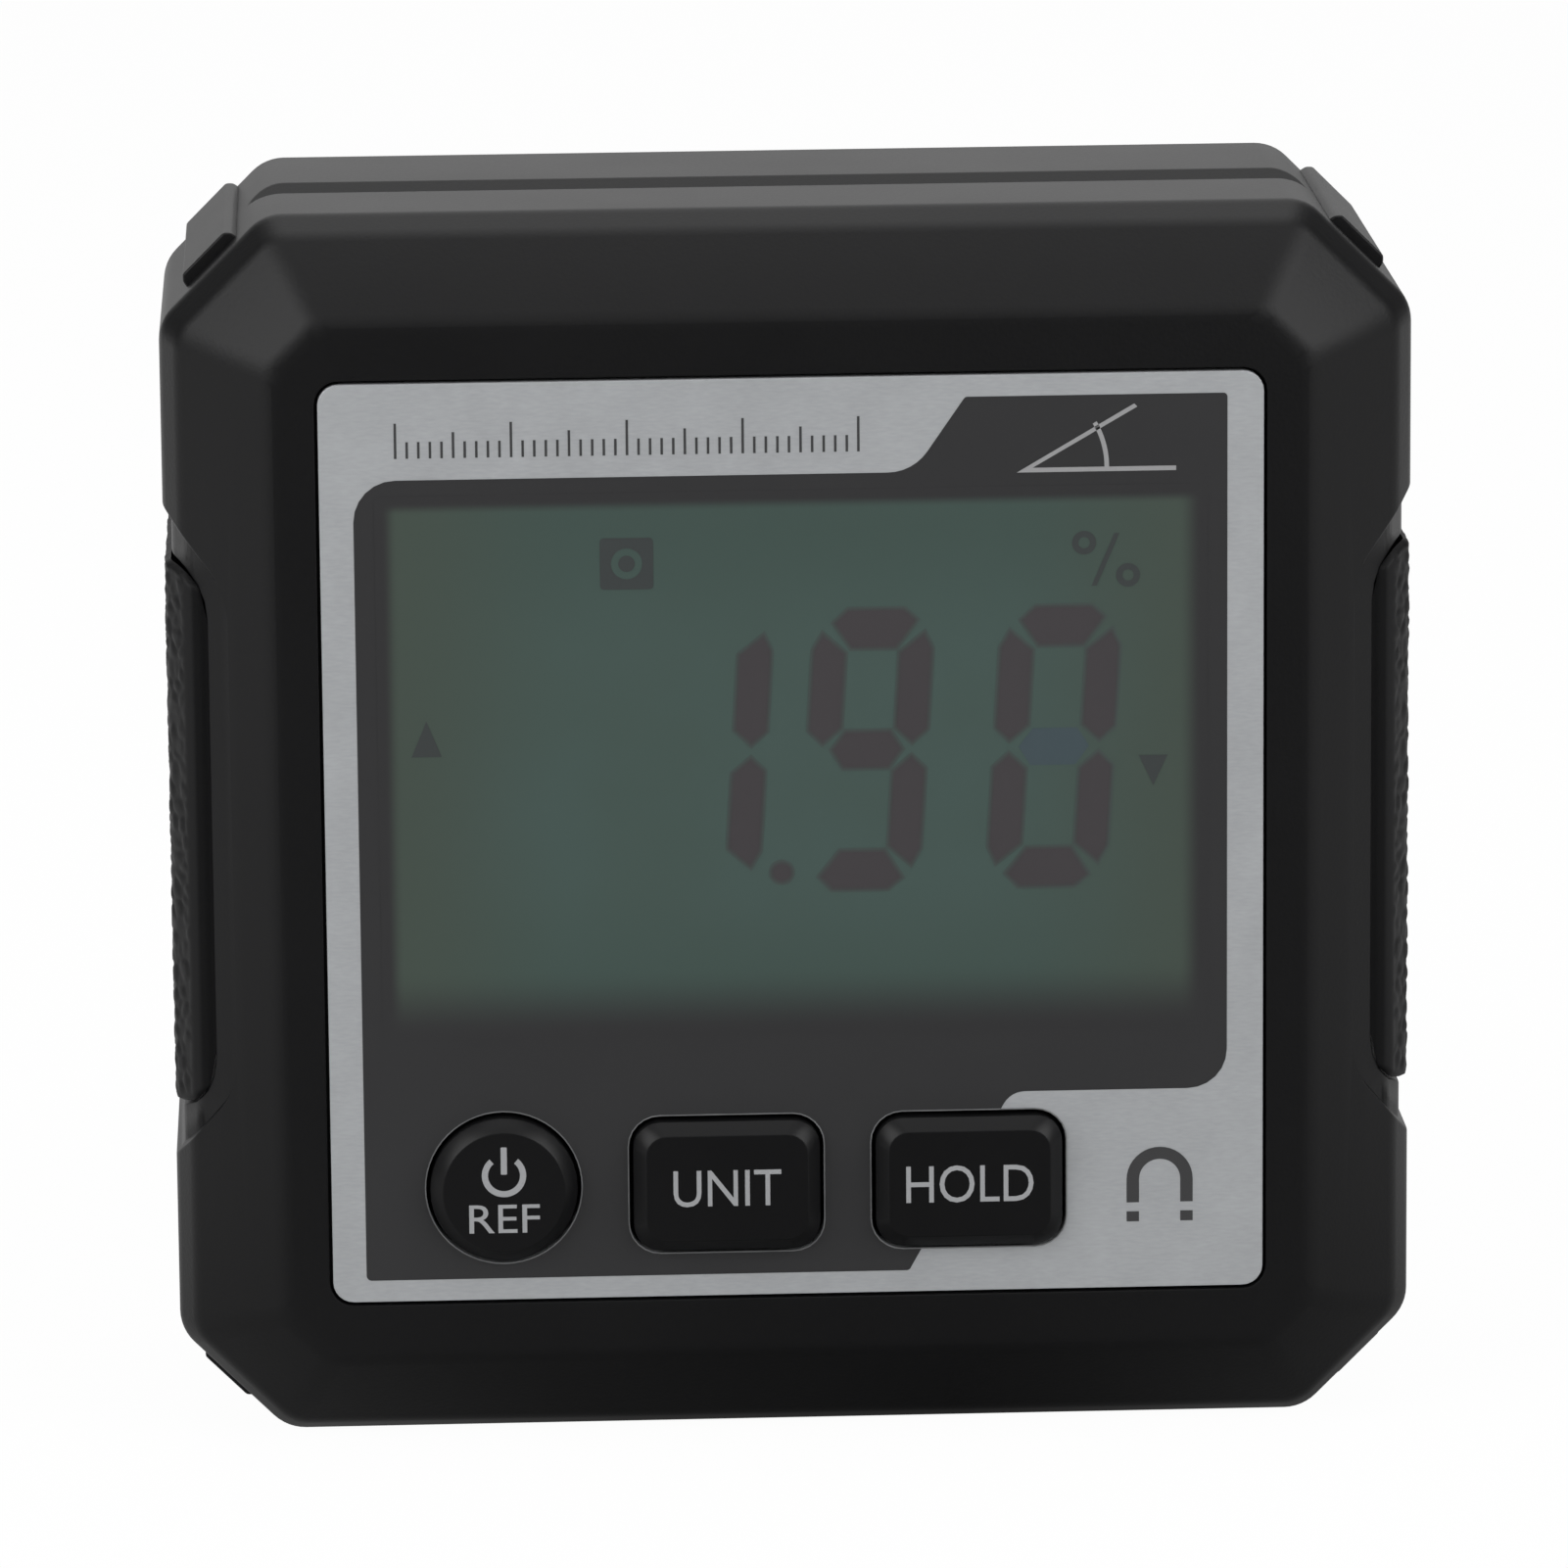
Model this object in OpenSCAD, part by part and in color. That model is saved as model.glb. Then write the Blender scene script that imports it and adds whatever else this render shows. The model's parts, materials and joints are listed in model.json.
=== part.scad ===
// Digital angle gauge: a square level box with a bevelled bezel, a printed face panel, a segment
// display, three keys, rubber side grips, a magnetic grooved base and a battery tray at the rear.
// Millimetres. +Z is up, the front looks towards -Y, and the origin is under the middle of the base.
// Values that end in _t are depths from the front flat of the bezel towards the rear.

/* [Body] */
// Width of the square front, side to side
body_w = 60; // [60:1:80]
// Height of the square front, base to top
body_h = 60; // [60:1:80]
// Depth from the front flat to the rear face
body_d = 24; // [24:0.5:34]
// Leg of the 45 degree cut at each corner of the outline
corner_cut = 5.1; // [4.5:0.1:6.5]
// Rounding of the outline where a cut meets a side
corner_round = 2.2; // [1.5:0.1:4]
// Thickness of the top, base and corner walls
wall = 2; // [1.8:0.1:2.4]
// Thickness of the rear cover's plate, which is also the rounding of its rear edge
cover_t = 2; // [1.9:0.1:2.6]

/* [Bezel] */
// Width of the flat rim beside the face panel
flat_side = 2.35; // [1.8:0.05:2.8]
// Width of the flat rim above and below the face panel
flat_top = 2.9; // [2:0.05:3.2]
// Leg of the cut at the flat rim's corners
flat_cut = 2.2; // [2:0.1:3]
// Rounding of the flat rim's corners
flat_round = 1.6; // [1:0.1:2.4]
// Width of the soft blend between the flat rim and the slope
flat_blend = 1.1; // [0.6:0.1:1.6]
// Depth of the wide slope, up to the line where it would meet the sides
slope_d = 3.4; // [2.8:0.1:3.8]
// Bulge of the slope between its edges
slope_crown = 0.06; // [0:0.01:0.1]
// Leg of the narrow band that cuts the edge between the slope and the sides
edge_cut = 1; // [0.6:0.1:1.4]
// Reach of the rounding at both edges of that band
edge_soft = 0.4; // [0.2:0.05:0.5]

/* [Corner pads and grooves] */
// Length of each raised pad along its corner face
corner_pad_l = 3.3; // [2.4:0.1:3.6]
// Height of the pads above the corner faces
corner_pad_h = 0.55; // [0.4:0.05:0.9]
// Bevel along the pads' edges
corner_pad_bevel = 0.25; // [0.1:0.05:0.35]
// Distance of the pads from the bezel
corner_pad_front = 2; // [0.3:0.1:3]
// Distance of the pads from the rear seam
corner_pad_end = 0.4; // [0.3:0.1:3]
// Distance of the V-grooves along the top and the base from the front flat
groove_t = 12.4; // [11.5:0.1:14]
// Width of the V-grooves
groove_w = 3.2; // [2:0.1:4]
// Depth of the V-grooves
groove_d = 0.8; // [0.5:0.1:1]

/* [Side grips] */
// Height of the shallow scoop round a grip, where it leaves the side
scoop_l = 32; // [30:0.1:36]
// Distance of the scoop's inner line from the side
scoop_in = 3.05; // [2.6:0.05:3.4]
// Depth of the scoop below the side
scoop_d = 0.4; // [0.2:0.05:0.6]
// Step at the scoop's inner line
scoop_step = 0.2; // [0.05:0.01:0.25]
// Turn of the scoop's line towards the side at its ends, in degrees
scoop_turn = 38; // [30:1:60]
// Rounding of that turn
scoop_round = 4; // [3:0.1:6]
// Distance of the scoop from the rear seam
scoop_rear = 2.5; // [1.5:0.1:4]
// Height of the rubber grip at the side
grip_l = 26.7; // [22:0.1:28]
// Rounding of the rubber grip in the front and side views
grip_round = 2.8; // [2.4:0.1:4]
// Distance of the grip's front edge from the side
grip_in = 1.5; // [1.2:0.05:1.6]
// Gap round the grip in its pocket
grip_gap = 0.5; // [0.3:0.05:0.8]
// Depth of the gap in front of the grip
gap_d = 1.8; // [1:0.1:2.4]
// Depth of the grip's pocket below the side
grip_depth = 2.05; // [1.8:0.05:2.4]
// Width of the scoop behind the pocket
grip_rear = 1; // [0.6:0.1:2]
// Wall left behind the pocket
grip_wall = 1.7; // [1.4:0.1:2]

/* [Face panel] */
// Width of the face panel
panel_w = 45; // [45:0.5:46]
// Height of the face panel
panel_h = 45; // [45:0.5:46]
// Thickness of the face panel
panel_t = 1; // [0.8:0.1:1.4]
// Rounding of the panel's corners
panel_round = 1; // [0.5:0.1:2]
// Gap round the panel in its recess
panel_gap = 0.15; // [0.1:0.05:0.3]
// Thickness of the housing's front wall behind the panel
front_wall = 1.8; // [1.5:0.1:2.2]

/* [Display] */
// Width of the display that shows through the panel
lcd_w = 38.4; // [34:0.1:38.8]
// Height of the display that shows through the panel
lcd_h = 24.6; // [20:0.1:25]
// Distance of the display from the panel's upper edge
lcd_top = 6.15; // [5.9:0.05:8]
// Margin of the window in the front wall round the display
window_margin = 0.5; // [0.3:0.1:0.8]
// Ledge of the display's glass behind the window
glass_ledge = 1.2; // [0.8:0.1:1.4]
// Thickness of the display's glass
glass_t = 1.9; // [1.5:0.1:2.3]
// Thickness of the backlight between the glass and the board
backlight_t = 2.5; // [2.5:0.1:2.8]
// Width of the rubber contact strips above and below the backlight
strip_w = 1.6; // [1.2:0.1:2]
// Gap between the backlight and the contact strips
strip_gap = 0.4; // [0.2:0.1:0.6]

/* [Keys] */
// Height of the keys above the bezel's flat
key_proud = 1; // [0.6:0.1:1.4]
// Distance of the key row from the panel's lower edge
key_up = 5.6; // [5.5:0.1:6.2]
// Place of the round key, from the middle
ref_x = -14.2; // [-15:0.1:-13.8]
// Place of the second key, from the middle
unit_x = -3.45; // [-3.6:0.05:-3.2]
// Place of the third key, from the middle
hold_x = 8.25; // [8.1:0.05:10]
// Diameter of the round key
ref_d = 7.1; // [6:0.1:7.4]
// Width of the oblong keys
key_w = 9; // [8:0.1:9.4]
// Height of the oblong keys
key_h = 6.4; // [5.5:0.1:6.8]
// Rounding of the oblong keys' corners
key_round = 1.3; // [0.8:0.1:2]
// Bevel round the keys' faces
key_bevel = 0.6; // [0.3:0.1:0.8]
// Gap round the keys in the panel and the front wall
key_gap = 0.2; // [0.15:0.05:0.3]
// Width of the flange that keeps a key in
flange_w = 0.8; // [0.5:0.1:0.9]
// Thickness of the flange
flange_t = 0.6; // [0.5:0.1:0.8]
// Gap between the flange and the front wall at rest
flange_gap = 0.1; // [0.05:0.05:0.2]
// Radius of the stem behind a key
stem_r = 1.5; // [1.2:0.1:1.8]
// Travel of a key
key_travel = 0.5; // [0.3:0.05:0.6]

/* [Switches] */
// Side of a switch's square body
switch_w = 4.5; // [4:0.1:5]
// Height of a switch's body above the board
switch_h = 2; // [1.8:0.1:2.2]
// Radius of a switch's plunger
plunger_r = 1.15; // [0.9:0.05:1.3]
// Gap round a plunger in its switch
plunger_gap = 0.1; // [0.08:0.02:0.2]
// Height of a plunger above its switch
plunger_up = 0.5; // [0.5:0.05:0.8]
// Length of a plunger inside its switch at rest
plunger_in = 0.7; // [0.5:0.05:0.8]
// Spare depth below a plunger pressed right in
plunger_spare = 0.1; // [0.05:0.05:0.2]

/* [Circuit board] */
// Width and height of the board
board_w = 47; // [46:0.5:48]
// Cut at the board's corners, clear of the cover's bosses
board_cut = 3.5; // [3:0.1:4]
// Thickness of the board
board_t = 1.2; // [1:0.1:1.2]
// Side of the controller chip
chip_w = 7; // [5:0.5:9]
// Side of the tilt sensor
sensor_w = 4; // [3:0.5:5]
// Height of the chip and the sensor
chip_h = 1; // [0.8:0.1:1]
// Place of the controller chip, to the right of the middle
chip_x = 8; // [6:0.5:10]
// Place of the controller chip, below the middle
chip_down = 4; // [0:0.5:6]
// Place of the tilt sensor, to the left of the middle
sensor_x = 8; // [6:0.5:10]
// Distance of the board's screws from its sides
board_screw_side = 4; // [3.7:0.1:4.5]
// Distance of the board's screws from its upper and lower edges
board_screw_end = 2.9; // [2.5:0.1:3.1]
// Radius of the standoffs under the board
standoff_r = 1.9; // [1.6:0.1:2]
// Radius of the board screws' shanks
board_screw_r = 0.7; // [0.6:0.05:0.8]

/* [Base magnets] */
// Diameter of a base magnet
magnet_d = 5.5; // [4:0.1:5.5]
// Height of a base magnet
magnet_h = 3; // [2:0.1:3.2]
// Distance of the magnets from the middle
magnet_x = 19; // [14:0.5:19]
// Gap round a magnet in its pocket
magnet_gap = 0.05; // [0.03:0.01:0.1]
// Distance of the magnets above the base's face
magnet_up = 0.1; // [0.05:0.05:0.2]
// Wall of the boss round a magnet's pocket
magnet_wall = 0.5; // [0.4:0.05:0.5]
// Roof of the boss above a magnet's pocket
magnet_roof = 1.2; // [0.8:0.1:1.4]

/* [Batteries] */
// Diameter of a cell
cell_d = 10.5; // [10:0.1:10.5]
// Length of a cell with its nub
cell_l = 44.5; // [43:0.1:44.5]
// Gap round the cells in the tray
cell_gap = 0.25; // [0.15:0.05:0.3]
// Gap between the cells and the rear seam
cell_rear = 0.7; // [0.5:0.1:0.8]
// Thickness of the contact plates
contact_t = 0.4; // [0.3:0.05:0.5]
// Length of a pressed contact spring
spring_l = 4.2; // [3.5:0.1:4.4]
// Radius of the springs' wire
spring_wire = 0.3; // [0.2:0.05:0.35]
// Turns of a contact spring
spring_turns = 4; // [3:1:5]
// Thickness of the tray's side walls
tray_wall = 1; // [0.8:0.1:1.2]
// Thickness of the tray's floor
tray_floor = 0.9; // [0.7:0.1:0.9]

/* [Battery door] */
// Width of the door's seat in the rear cover
door_w = 52; // [51.5:0.1:54]
// Height of the door's seat in the rear cover
door_h = 25; // [24.5:0.1:27]
// Thickness of the door
door_t = 1.4; // [1.2:0.1:1.5]
// Rounding of the door's corners
door_round = 1.5; // [0.5:0.1:3]
// Gap round the door in its seat
door_gap = 0.15; // [0.1:0.05:0.25]
// Place of the two tabs from the middle
tab_x = 14; // [8:0.5:18]
// Width of a tab
tab_w = 6; // [4:0.5:8]
// Thickness of a tab
tab_t = 1.1; // [0.9:0.1:1.2]
// Reach of a tab below the door's seat
tab_reach = 1.9; // [1.5:0.1:2]
// Thickness of the lip that the tabs reach under
lip_t = 1.6; // [1.5:0.05:1.7]
// Height of a tab's root inside the door's seat
tab_root = 1.4; // [1.2:0.1:1.6]
// Radius of the finger notch above the door
notch_r = 4.5; // [3:0.5:6]
// Depth of the finger notch
notch_t = 1; // [0.6:0.1:1.2]

/* [Cover screws] */
// Distance of the cover's screws from the sides, the top and the base
cover_screw_in = 5.7; // [5.6:0.1:6]
// Radius of the bosses that take the cover's screws
boss_r = 2.6; // [2.4:0.1:2.6]
// Radius of the cover screws' shanks
cover_screw_r = 0.95; // [0.8:0.05:1]
// Radius of the cover screws' heads
cover_head_r = 1.9; // [1.6:0.05:1.9]
// Height of the screw heads
screw_head_t = 1; // [0.8:0.1:1]
// Length of the cover screws below their heads
cover_screw_l = 7; // [5:0.5:9]
// Gap round a screw's shank and head
screw_gap = 0.05; // [0.03:0.01:0.1]

/* [Fits] */
// Gap of the cover's locating rim inside the housing
rim_gap = 0.15; // [0.1:0.05:0.25]
// Width of the locating rim
rim_w = 1.2; // [0.8:0.1:1.4]
// Depth of the locating rim
rim_d = 2; // [1:0.1:2.4]
// Room left round bosses and tabs
clear = 0.3; // [0.2:0.05:0.4]

/* [Hidden] */
$fn = 32;

// Steps along each rounded vertex of an outline, over each rounded edge, and across the slope's bulge
arc_steps = 6;
edge_steps = 3;
crown_steps = 3;
// Length by which cuts run past the faces that they open
past = 1;

// Half sizes of the outline, the middle height, and the plane of the bezel's flat
half_w = body_w / 2;
half_h = body_h / 2;
mid_z = half_h;
y_face = (key_proud - body_d) / 2;

// Share of a 45 degree cut that an inward offset takes away
cut_share = 2 - sqrt(2);

// Flat rim, and the slopes beside it and above it
flat_a = panel_w / 2 + flat_side;
flat_b = panel_h / 2 + flat_top;
slope_x = slope_d / (half_w - flat_a);

// Planes along the depth
bezel_t = slope_d + edge_cut;
seam_t = body_d - cover_t;
wall_t = panel_t + front_wall;
glass_back_t = wall_t + glass_t;
board_front_t = glass_back_t + backlight_t;
board_back_t = board_front_t + board_t;

// Cavity of the housing
cavity_a = half_w - grip_depth - grip_wall;
cavity_b = half_h - wall;
cavity_cut = cavity_a + cavity_b - (half_w + half_h - corner_cut) + wall * sqrt(2);
cavity_round = wall;

// Grips: the scoop's inner line and its rear, the pocket's floor and its rear, and the rear of the rubber
scoop_x = half_w - scoop_in;
scoop_rear_t = seam_t - scoop_rear;
pocket_x = half_w - grip_depth;
pocket_t = scoop_rear_t - grip_rear;
grip_t = pocket_t - grip_gap;

// Middles of the bands beside the grooves
front_band_t = (bezel_t + groove_t - groove_w / 2) / 2;
rear_band_t = (groove_t + groove_w / 2 + seam_t) / 2;

// Screws of the board and of the cover
board_screw_x = board_w / 2 - board_screw_side;
board_screw_z = board_w / 2 - board_screw_end;
cover_screw_x = half_w - cover_screw_in;
cover_screw_z = half_h - cover_screw_in;

// Display and keys
lcd_z = mid_z + panel_h / 2 - lcd_top - lcd_h / 2;
glass_w = lcd_w + 2 * (window_margin + glass_ledge);
glass_h = lcd_h + 2 * (window_margin + glass_ledge);
key_z = mid_z - panel_h / 2 + key_up;
flange_front_t = wall_t + flange_gap;
stem_end_t = board_front_t - switch_h - plunger_up;

// Battery tray: inner size, planes, and places of the cells
tray_w = cell_l + spring_l + 2 * contact_t;
tray_h = 2 * cell_d + 3 * cell_gap;
cell_t = seam_t - cell_rear - cell_d / 2;
tray_floor_t = cell_t - cell_d / 2 - cell_gap / 2;
cell_z = (cell_d + cell_gap) / 2;
plate_w = 8;

// Door: lower edge of its seat, the seat's plane, and the tabs' rear face
door_low_z = mid_z - door_h / 2;
door_seat_t = body_d - door_t;
lip_front_t = body_d - lip_t;
tab_rear_t = lip_front_t - cell_gap / 2;
tab_front_t = tab_rear_t - tab_t;
tab_sweep_t = body_d - norm([body_d - tab_front_t, tab_reach]) - cell_gap / 2;

// Points of a circle's stretch
function arc(c, r, a0, a1) =
    [for (i = [0:arc_steps]) let (a = a0 + (a1 - a0) * i / arc_steps) c + r * [cos(a), sin(a)]];

// Outline with 45 degree cuts and rounded vertices, a and b being its half sizes
function octagon(a, b, cut, r) =
    let (k = cut + (sqrt(2) - 1) * r, near = [a - r, b - k], far = [a - k, b - r])
    concat(
        arc(near, r, 0, 45), arc(far, r, 45, 90),
        arc([-far[0], far[1]], r, 90, 135), arc([-near[0], near[1]], r, 135, 180),
        arc(-near, r, 180, 225), arc(-far, r, 225, 270),
        arc([far[0], -far[1]], r, 270, 315), arc([near[0], -near[1]], r, 315, 360)
    );

// Outline of a rectangle with round corners
function rounded_rect(w, h, r) =
    let (x = w / 2 - r, z = h / 2 - r)
    concat(
        arc([x, z], r, 0, 90), arc([-x, z], r, 90, 180),
        arc([-x, -z], r, 180, 270), arc([x, -z], r, 270, 360)
    );

// Octagon outline as a ring of points at one depth
function ring(t, a, b, cut, r) = [for (p = octagon(a, b, cut, r)) [p[0], t, mid_z + p[1]]];

// Stations of an outer form, each a depth, a half width, a half height, a corner cut and a corner rounding
function mixed(from, to, f) = from + (to - from) * f;
function rings_at(stations) = [for (s = stations) ring(s[0], s[1], s[2], s[3], s[4])];

// Share of the way from one station to another that a distance takes
function share(from, to, distance) = distance / norm([to[0] - from[0], to[1] - from[1]]);

// Stations that round one off, from a share of the way to the last one to a share of the way to the next
function softened(last, at, next, to_last, to_next) =
    let (p = mixed(at, last, to_last), q = mixed(at, next, to_next))
    [for (i = [0:edge_steps]) let (f = i / edge_steps) mixed(mixed(p, at, f), mixed(at, q, f), f)];

// Stations between two others, on a line that bulges towards the front
function crowned(from, to) =
    [for (i = [1:crown_steps - 1]) let (f = i / crown_steps)
        mixed(from, to, f) - [4 * slope_crown * f * (1 - f), 0, 0, 0, 0]];

// Stations from the flat rim to the rear seam, when the slope would end at a given depth and half width
rim_in = [0, flat_a - flat_blend / 2, flat_b - flat_blend / 2, flat_cut, flat_round];
rim = [0, flat_a, flat_b, flat_cut, flat_round];
function form_rings(edge_t, edge_a) =
    let (
        edge = [edge_t, edge_a, half_h, corner_cut, corner_round],
        seam = [seam_t, edge_a, half_h, corner_cut, corner_round],
        front = mixed(edge, rim, share(edge, rim, edge_cut)),
        rear = mixed(edge, seam, share(edge, seam, edge_cut)),
        blend = softened(rim_in, rim, front, 1, share(rim, front, flat_blend / 2)),
        front_soft = softened(rim, front, rear, share(front, rim, edge_soft), share(front, rear, edge_soft)),
        rear_soft = softened(front, rear, seam, share(rear, front, edge_soft), share(rear, seam, edge_soft))
    )
    rings_at(concat(blend, crowned(blend[edge_steps], front_soft[0]), front_soft, rear_soft, [seam]));

// Rings of the outer form, and of the lower form that the scoops round the grips lay open
shell_rings = form_rings(slope_d, half_w);
scoop_slope = slope_x + scoop_step / (scoop_x - flat_a);
scoop_rings = form_rings(scoop_slope * (half_w - scoop_d - flat_a), half_w - scoop_d);

// Rings of the rear cover's plate, which curves in to the rear face
cover_rings = [
    for (i = [0:edge_steps])
        let (a = 90 * i / edge_steps, in = cover_t * (1 - cos(a)))
        ring(seam_t + cover_t * sin(a), half_w - in, half_h - in,
            corner_cut - in * cut_share, max(corner_round - in, cover_t / 10))
];

// Ring of a spring's wire; the coil narrows from its plate to its cell
spring_wide = 3.6;
spring_narrow = 2.4;
wire_sides = 6;
turn_steps = 14;
function spring_ring(f) =
    let (
        a = 360 * spring_turns * f,
        r = mixed(spring_wide, spring_narrow, f),
        x = mixed(spring_wire, spring_l - spring_wire, f)
    )
    [for (i = [0:wire_sides - 1])
        let (b = 360 * i / wire_sides, q = r + spring_wire * cos(b))
        [x + spring_wire * sin(b), q * cos(a), q * sin(a)]];

// Solid through a list of rings that have the same number of points
module loft(rings) {
    n = len(rings[0]);
    last = (len(rings) - 1) * n;
    polyhedron(
        points = [for (r = rings) each r],
        faces = concat(
            [[for (i = [n - 1:-1:0]) i]],
            [for (k = [0:len(rings) - 2]) for (i = [0:n - 1])
                let (p = k * n, q = p + n, j = (i + 1) % n)
                each [[p + i, p + j, q + j], [p + i, q + j, q + i]]],
            [[for (i = [0:n - 1]) last + i]]
        )
    );
}

// Puts depths into the model's frame
module at_face() { translate([0, y_face, 0]) children(); }

// Outline in X and Z, extruded between two depths
module prism(t0, t1, outline, x = 0, z = 0) {
    translate([x, t1, z])
        rotate([90, 0, 0])
            linear_extrude(t1 - t0)
                polygon(outline);
}

// Outline in depth and Z, extruded along X
module side_prism(x0, x1, outline, z = 0) {
    translate([x0, 0, z])
        rotate([90, 0, 90])
            linear_extrude(x1 - x0)
                polygon(outline);
}

// Round bar between two depths
module rod(t0, t1, r, x = 0, z = 0) {
    translate([x, t0, z])
        rotate([-90, 0, 0])
            cylinder(h = t1 - t0, r = r);
}

// Plain block between two depths, centred on x and z
module block(t0, t1, w, h, x = 0, z = 0) {
    translate([x - w / 2, t0, z - h / 2])
        cube([w, t1 - t0, h]);
}

// Copies at four places that mirror each other about the middle
module at_four(x, z) {
    for (sx = [-1, 1])
        for (sz = [-1, 1])
            translate([sx * x, 0, mid_z + sz * z])
                children();
}

// Raised pads on the four corner faces
module corner_pads() {
    flare = corner_pad_h / 4;
    root = 0.4;
    half = corner_pad_l / 2;
    low = corner_pad_h - corner_pad_bevel;
    profile = [
        [-half - flare, -root], [half + flare, -root], [half, low], [half - corner_pad_bevel, corner_pad_h],
        [corner_pad_bevel - half, corner_pad_h], [-half, low]
    ];
    for (a = [45:90:315])
        translate([sign(cos(a)) * (half_w - corner_cut / 2), 0, mid_z])
            translate([0, 0, sign(sin(a)) * (half_h - corner_cut / 2)])
                rotate([0, 90 - a, 0])
                    prism(bezel_t + corner_pad_front, seam_t - corner_pad_end, profile);
}

// V-groove along the top face
module top_groove() {
    half = groove_w / 2;
    profile = [[-half, past], [-half, 0], [0, -groove_d], [half, 0], [half, past]];
    translate([0, groove_t, 0])
        side_prism(-half_w - past, half_w + past, profile, body_h);
}

// Outline of the right-hand scoop in the front view: a straight line that turns out to the side at both ends
function scoop_outline(outer_x) =
    let (
        bend_x = scoop_x + scoop_round * (1 - cos(scoop_turn)),
        end_z = scoop_l / 2,
        straight_z = end_z - (half_w - bend_x) / tan(scoop_turn) - scoop_round * sin(scoop_turn),
        bend = [for (i = [0:arc_steps]) let (a = scoop_turn * i / arc_steps)
            [scoop_x + scoop_round * (1 - cos(a)), straight_z + scoop_round * sin(a)]],
        upper = concat(bend, [[outer_x, end_z + (outer_x - half_w) / tan(scoop_turn)]])
    )
    concat(upper, [for (i = [len(upper) - 1:-1:0]) [upper[i][0], -upper[i][1]]]);

// Shallow scoop round the right-hand grip, which leaves the lower form standing
module scoop() {
    outer_x = half_w + past;
    difference() {
        intersection() {
            prism(-past, scoop_rear_t, scoop_outline(outer_x), 0, mid_z);
            side_prism(scoop_x - past, outer_x, rounded_rect(2 * scoop_rear_t, scoop_l, scoop_round), mid_z);
        }
        loft(scoop_rings);
    }
}

// Space of a grip on the right-hand side, rounded in the front view and in the side view
// Its length holds where it meets the side, grip_depth above its floor
module grip_space(length, r, rear_t) {
    outer_x = half_w + 2 * past;
    outline_l = length + 2 * (r - sqrt(pow(r, 2) - pow(r - grip_depth, 2)));
    intersection() {
        prism(-past, rear_t, rounded_rect(2 * (outer_x - pocket_x), outline_l, r), outer_x, mid_z);
        side_prism(pocket_x, outer_x, rounded_rect(2 * rear_t, outline_l, r), mid_z);
    }
}

// Rubber grip of the right-hand side, flush with the body and with a gap at its front
module right_grip() {
    outer_x = half_w + 2 * past;
    edge_x = half_w - grip_in;
    edge_t = slope_x * (edge_x - flat_a);
    floor_t = edge_t + gap_d;
    rise = gap_d / (edge_x - pocket_x);
    front = [
        [pocket_x, floor_t], [pocket_x, grip_t], [outer_x, grip_t],
        [outer_x, floor_t - rise * (outer_x - pocket_x)]
    ];
    intersection() {
        loft(shell_rings);
        grip_space(grip_l, grip_round, grip_t);
        translate([0, 0, mid_z - grip_l])
            linear_extrude(2 * grip_l)
                polygon(front);
    }
}

// Openings for the three keys, through the panel and the front wall
module key_holes(t0, t1) {
    rod(t0, t1, ref_d / 2 + key_gap, ref_x, key_z);
    for (x = [unit_x, hold_x])
        prism(t0, t1, rounded_rect(key_w + 2 * key_gap, key_h + 2 * key_gap, key_round + key_gap), x, key_z);
}

// Places of the base magnets
module at_magnet(x, t) { translate([x, t, 0]) children(); }
module at_magnets() {
    for (x = [-magnet_x, magnet_x])
        for (t = [front_band_t, rear_band_t])
            at_magnet(x, t)
                children();
}

module housing() {
    pocket_r = magnet_d / 2 + magnet_gap;
    pocket_h = magnet_h + magnet_up;
    seat_w = panel_w + 2 * panel_gap;
    seat_h = panel_h + 2 * panel_gap;
    cavity = octagon(cavity_a, cavity_b, cavity_cut, cavity_round);
    color("#1d1e20")
        at_face()
            difference() {
                union() {
                    difference() {
                        union() {
                            loft(shell_rings);
                            corner_pads();
                        }
                        prism(wall_t, seam_t + past, cavity, 0, mid_z);
                    }
                    at_four(cover_screw_x, cover_screw_z) rod(wall_t, seam_t, boss_r);
                    at_four(board_screw_x, board_screw_z) rod(wall_t, board_front_t, standoff_r);
                    at_magnets()
                        translate([0, 0, wall / 2])
                            cylinder(h = pocket_h + magnet_roof - wall / 2, r = pocket_r + magnet_wall);
                }
                prism(-past, panel_t, rounded_rect(seat_w, seat_h, panel_round + panel_gap), 0, mid_z);
                block(0, wall_t + past, lcd_w + 2 * window_margin, lcd_h + 2 * window_margin, 0, lcd_z);
                key_holes(0, wall_t + past);
                for (side = [0, 1])
                    mirror([side, 0, 0]) {
                        scoop();
                        grip_space(grip_l + 2 * grip_gap, grip_round + grip_gap, pocket_t);
                    }
                top_groove();
                translate([0, 0, body_h]) mirror([0, 0, 1]) top_groove();
                at_magnets() translate([0, 0, -past]) cylinder(h = pocket_h + past, r = pocket_r);
                at_four(cover_screw_x, cover_screw_z)
                    rod(seam_t - cover_screw_l, seam_t + past, cover_screw_r + screw_gap);
                at_four(board_screw_x, board_screw_z)
                    rod(wall_t, board_front_t + past, board_screw_r + screw_gap);
            }
}

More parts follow.
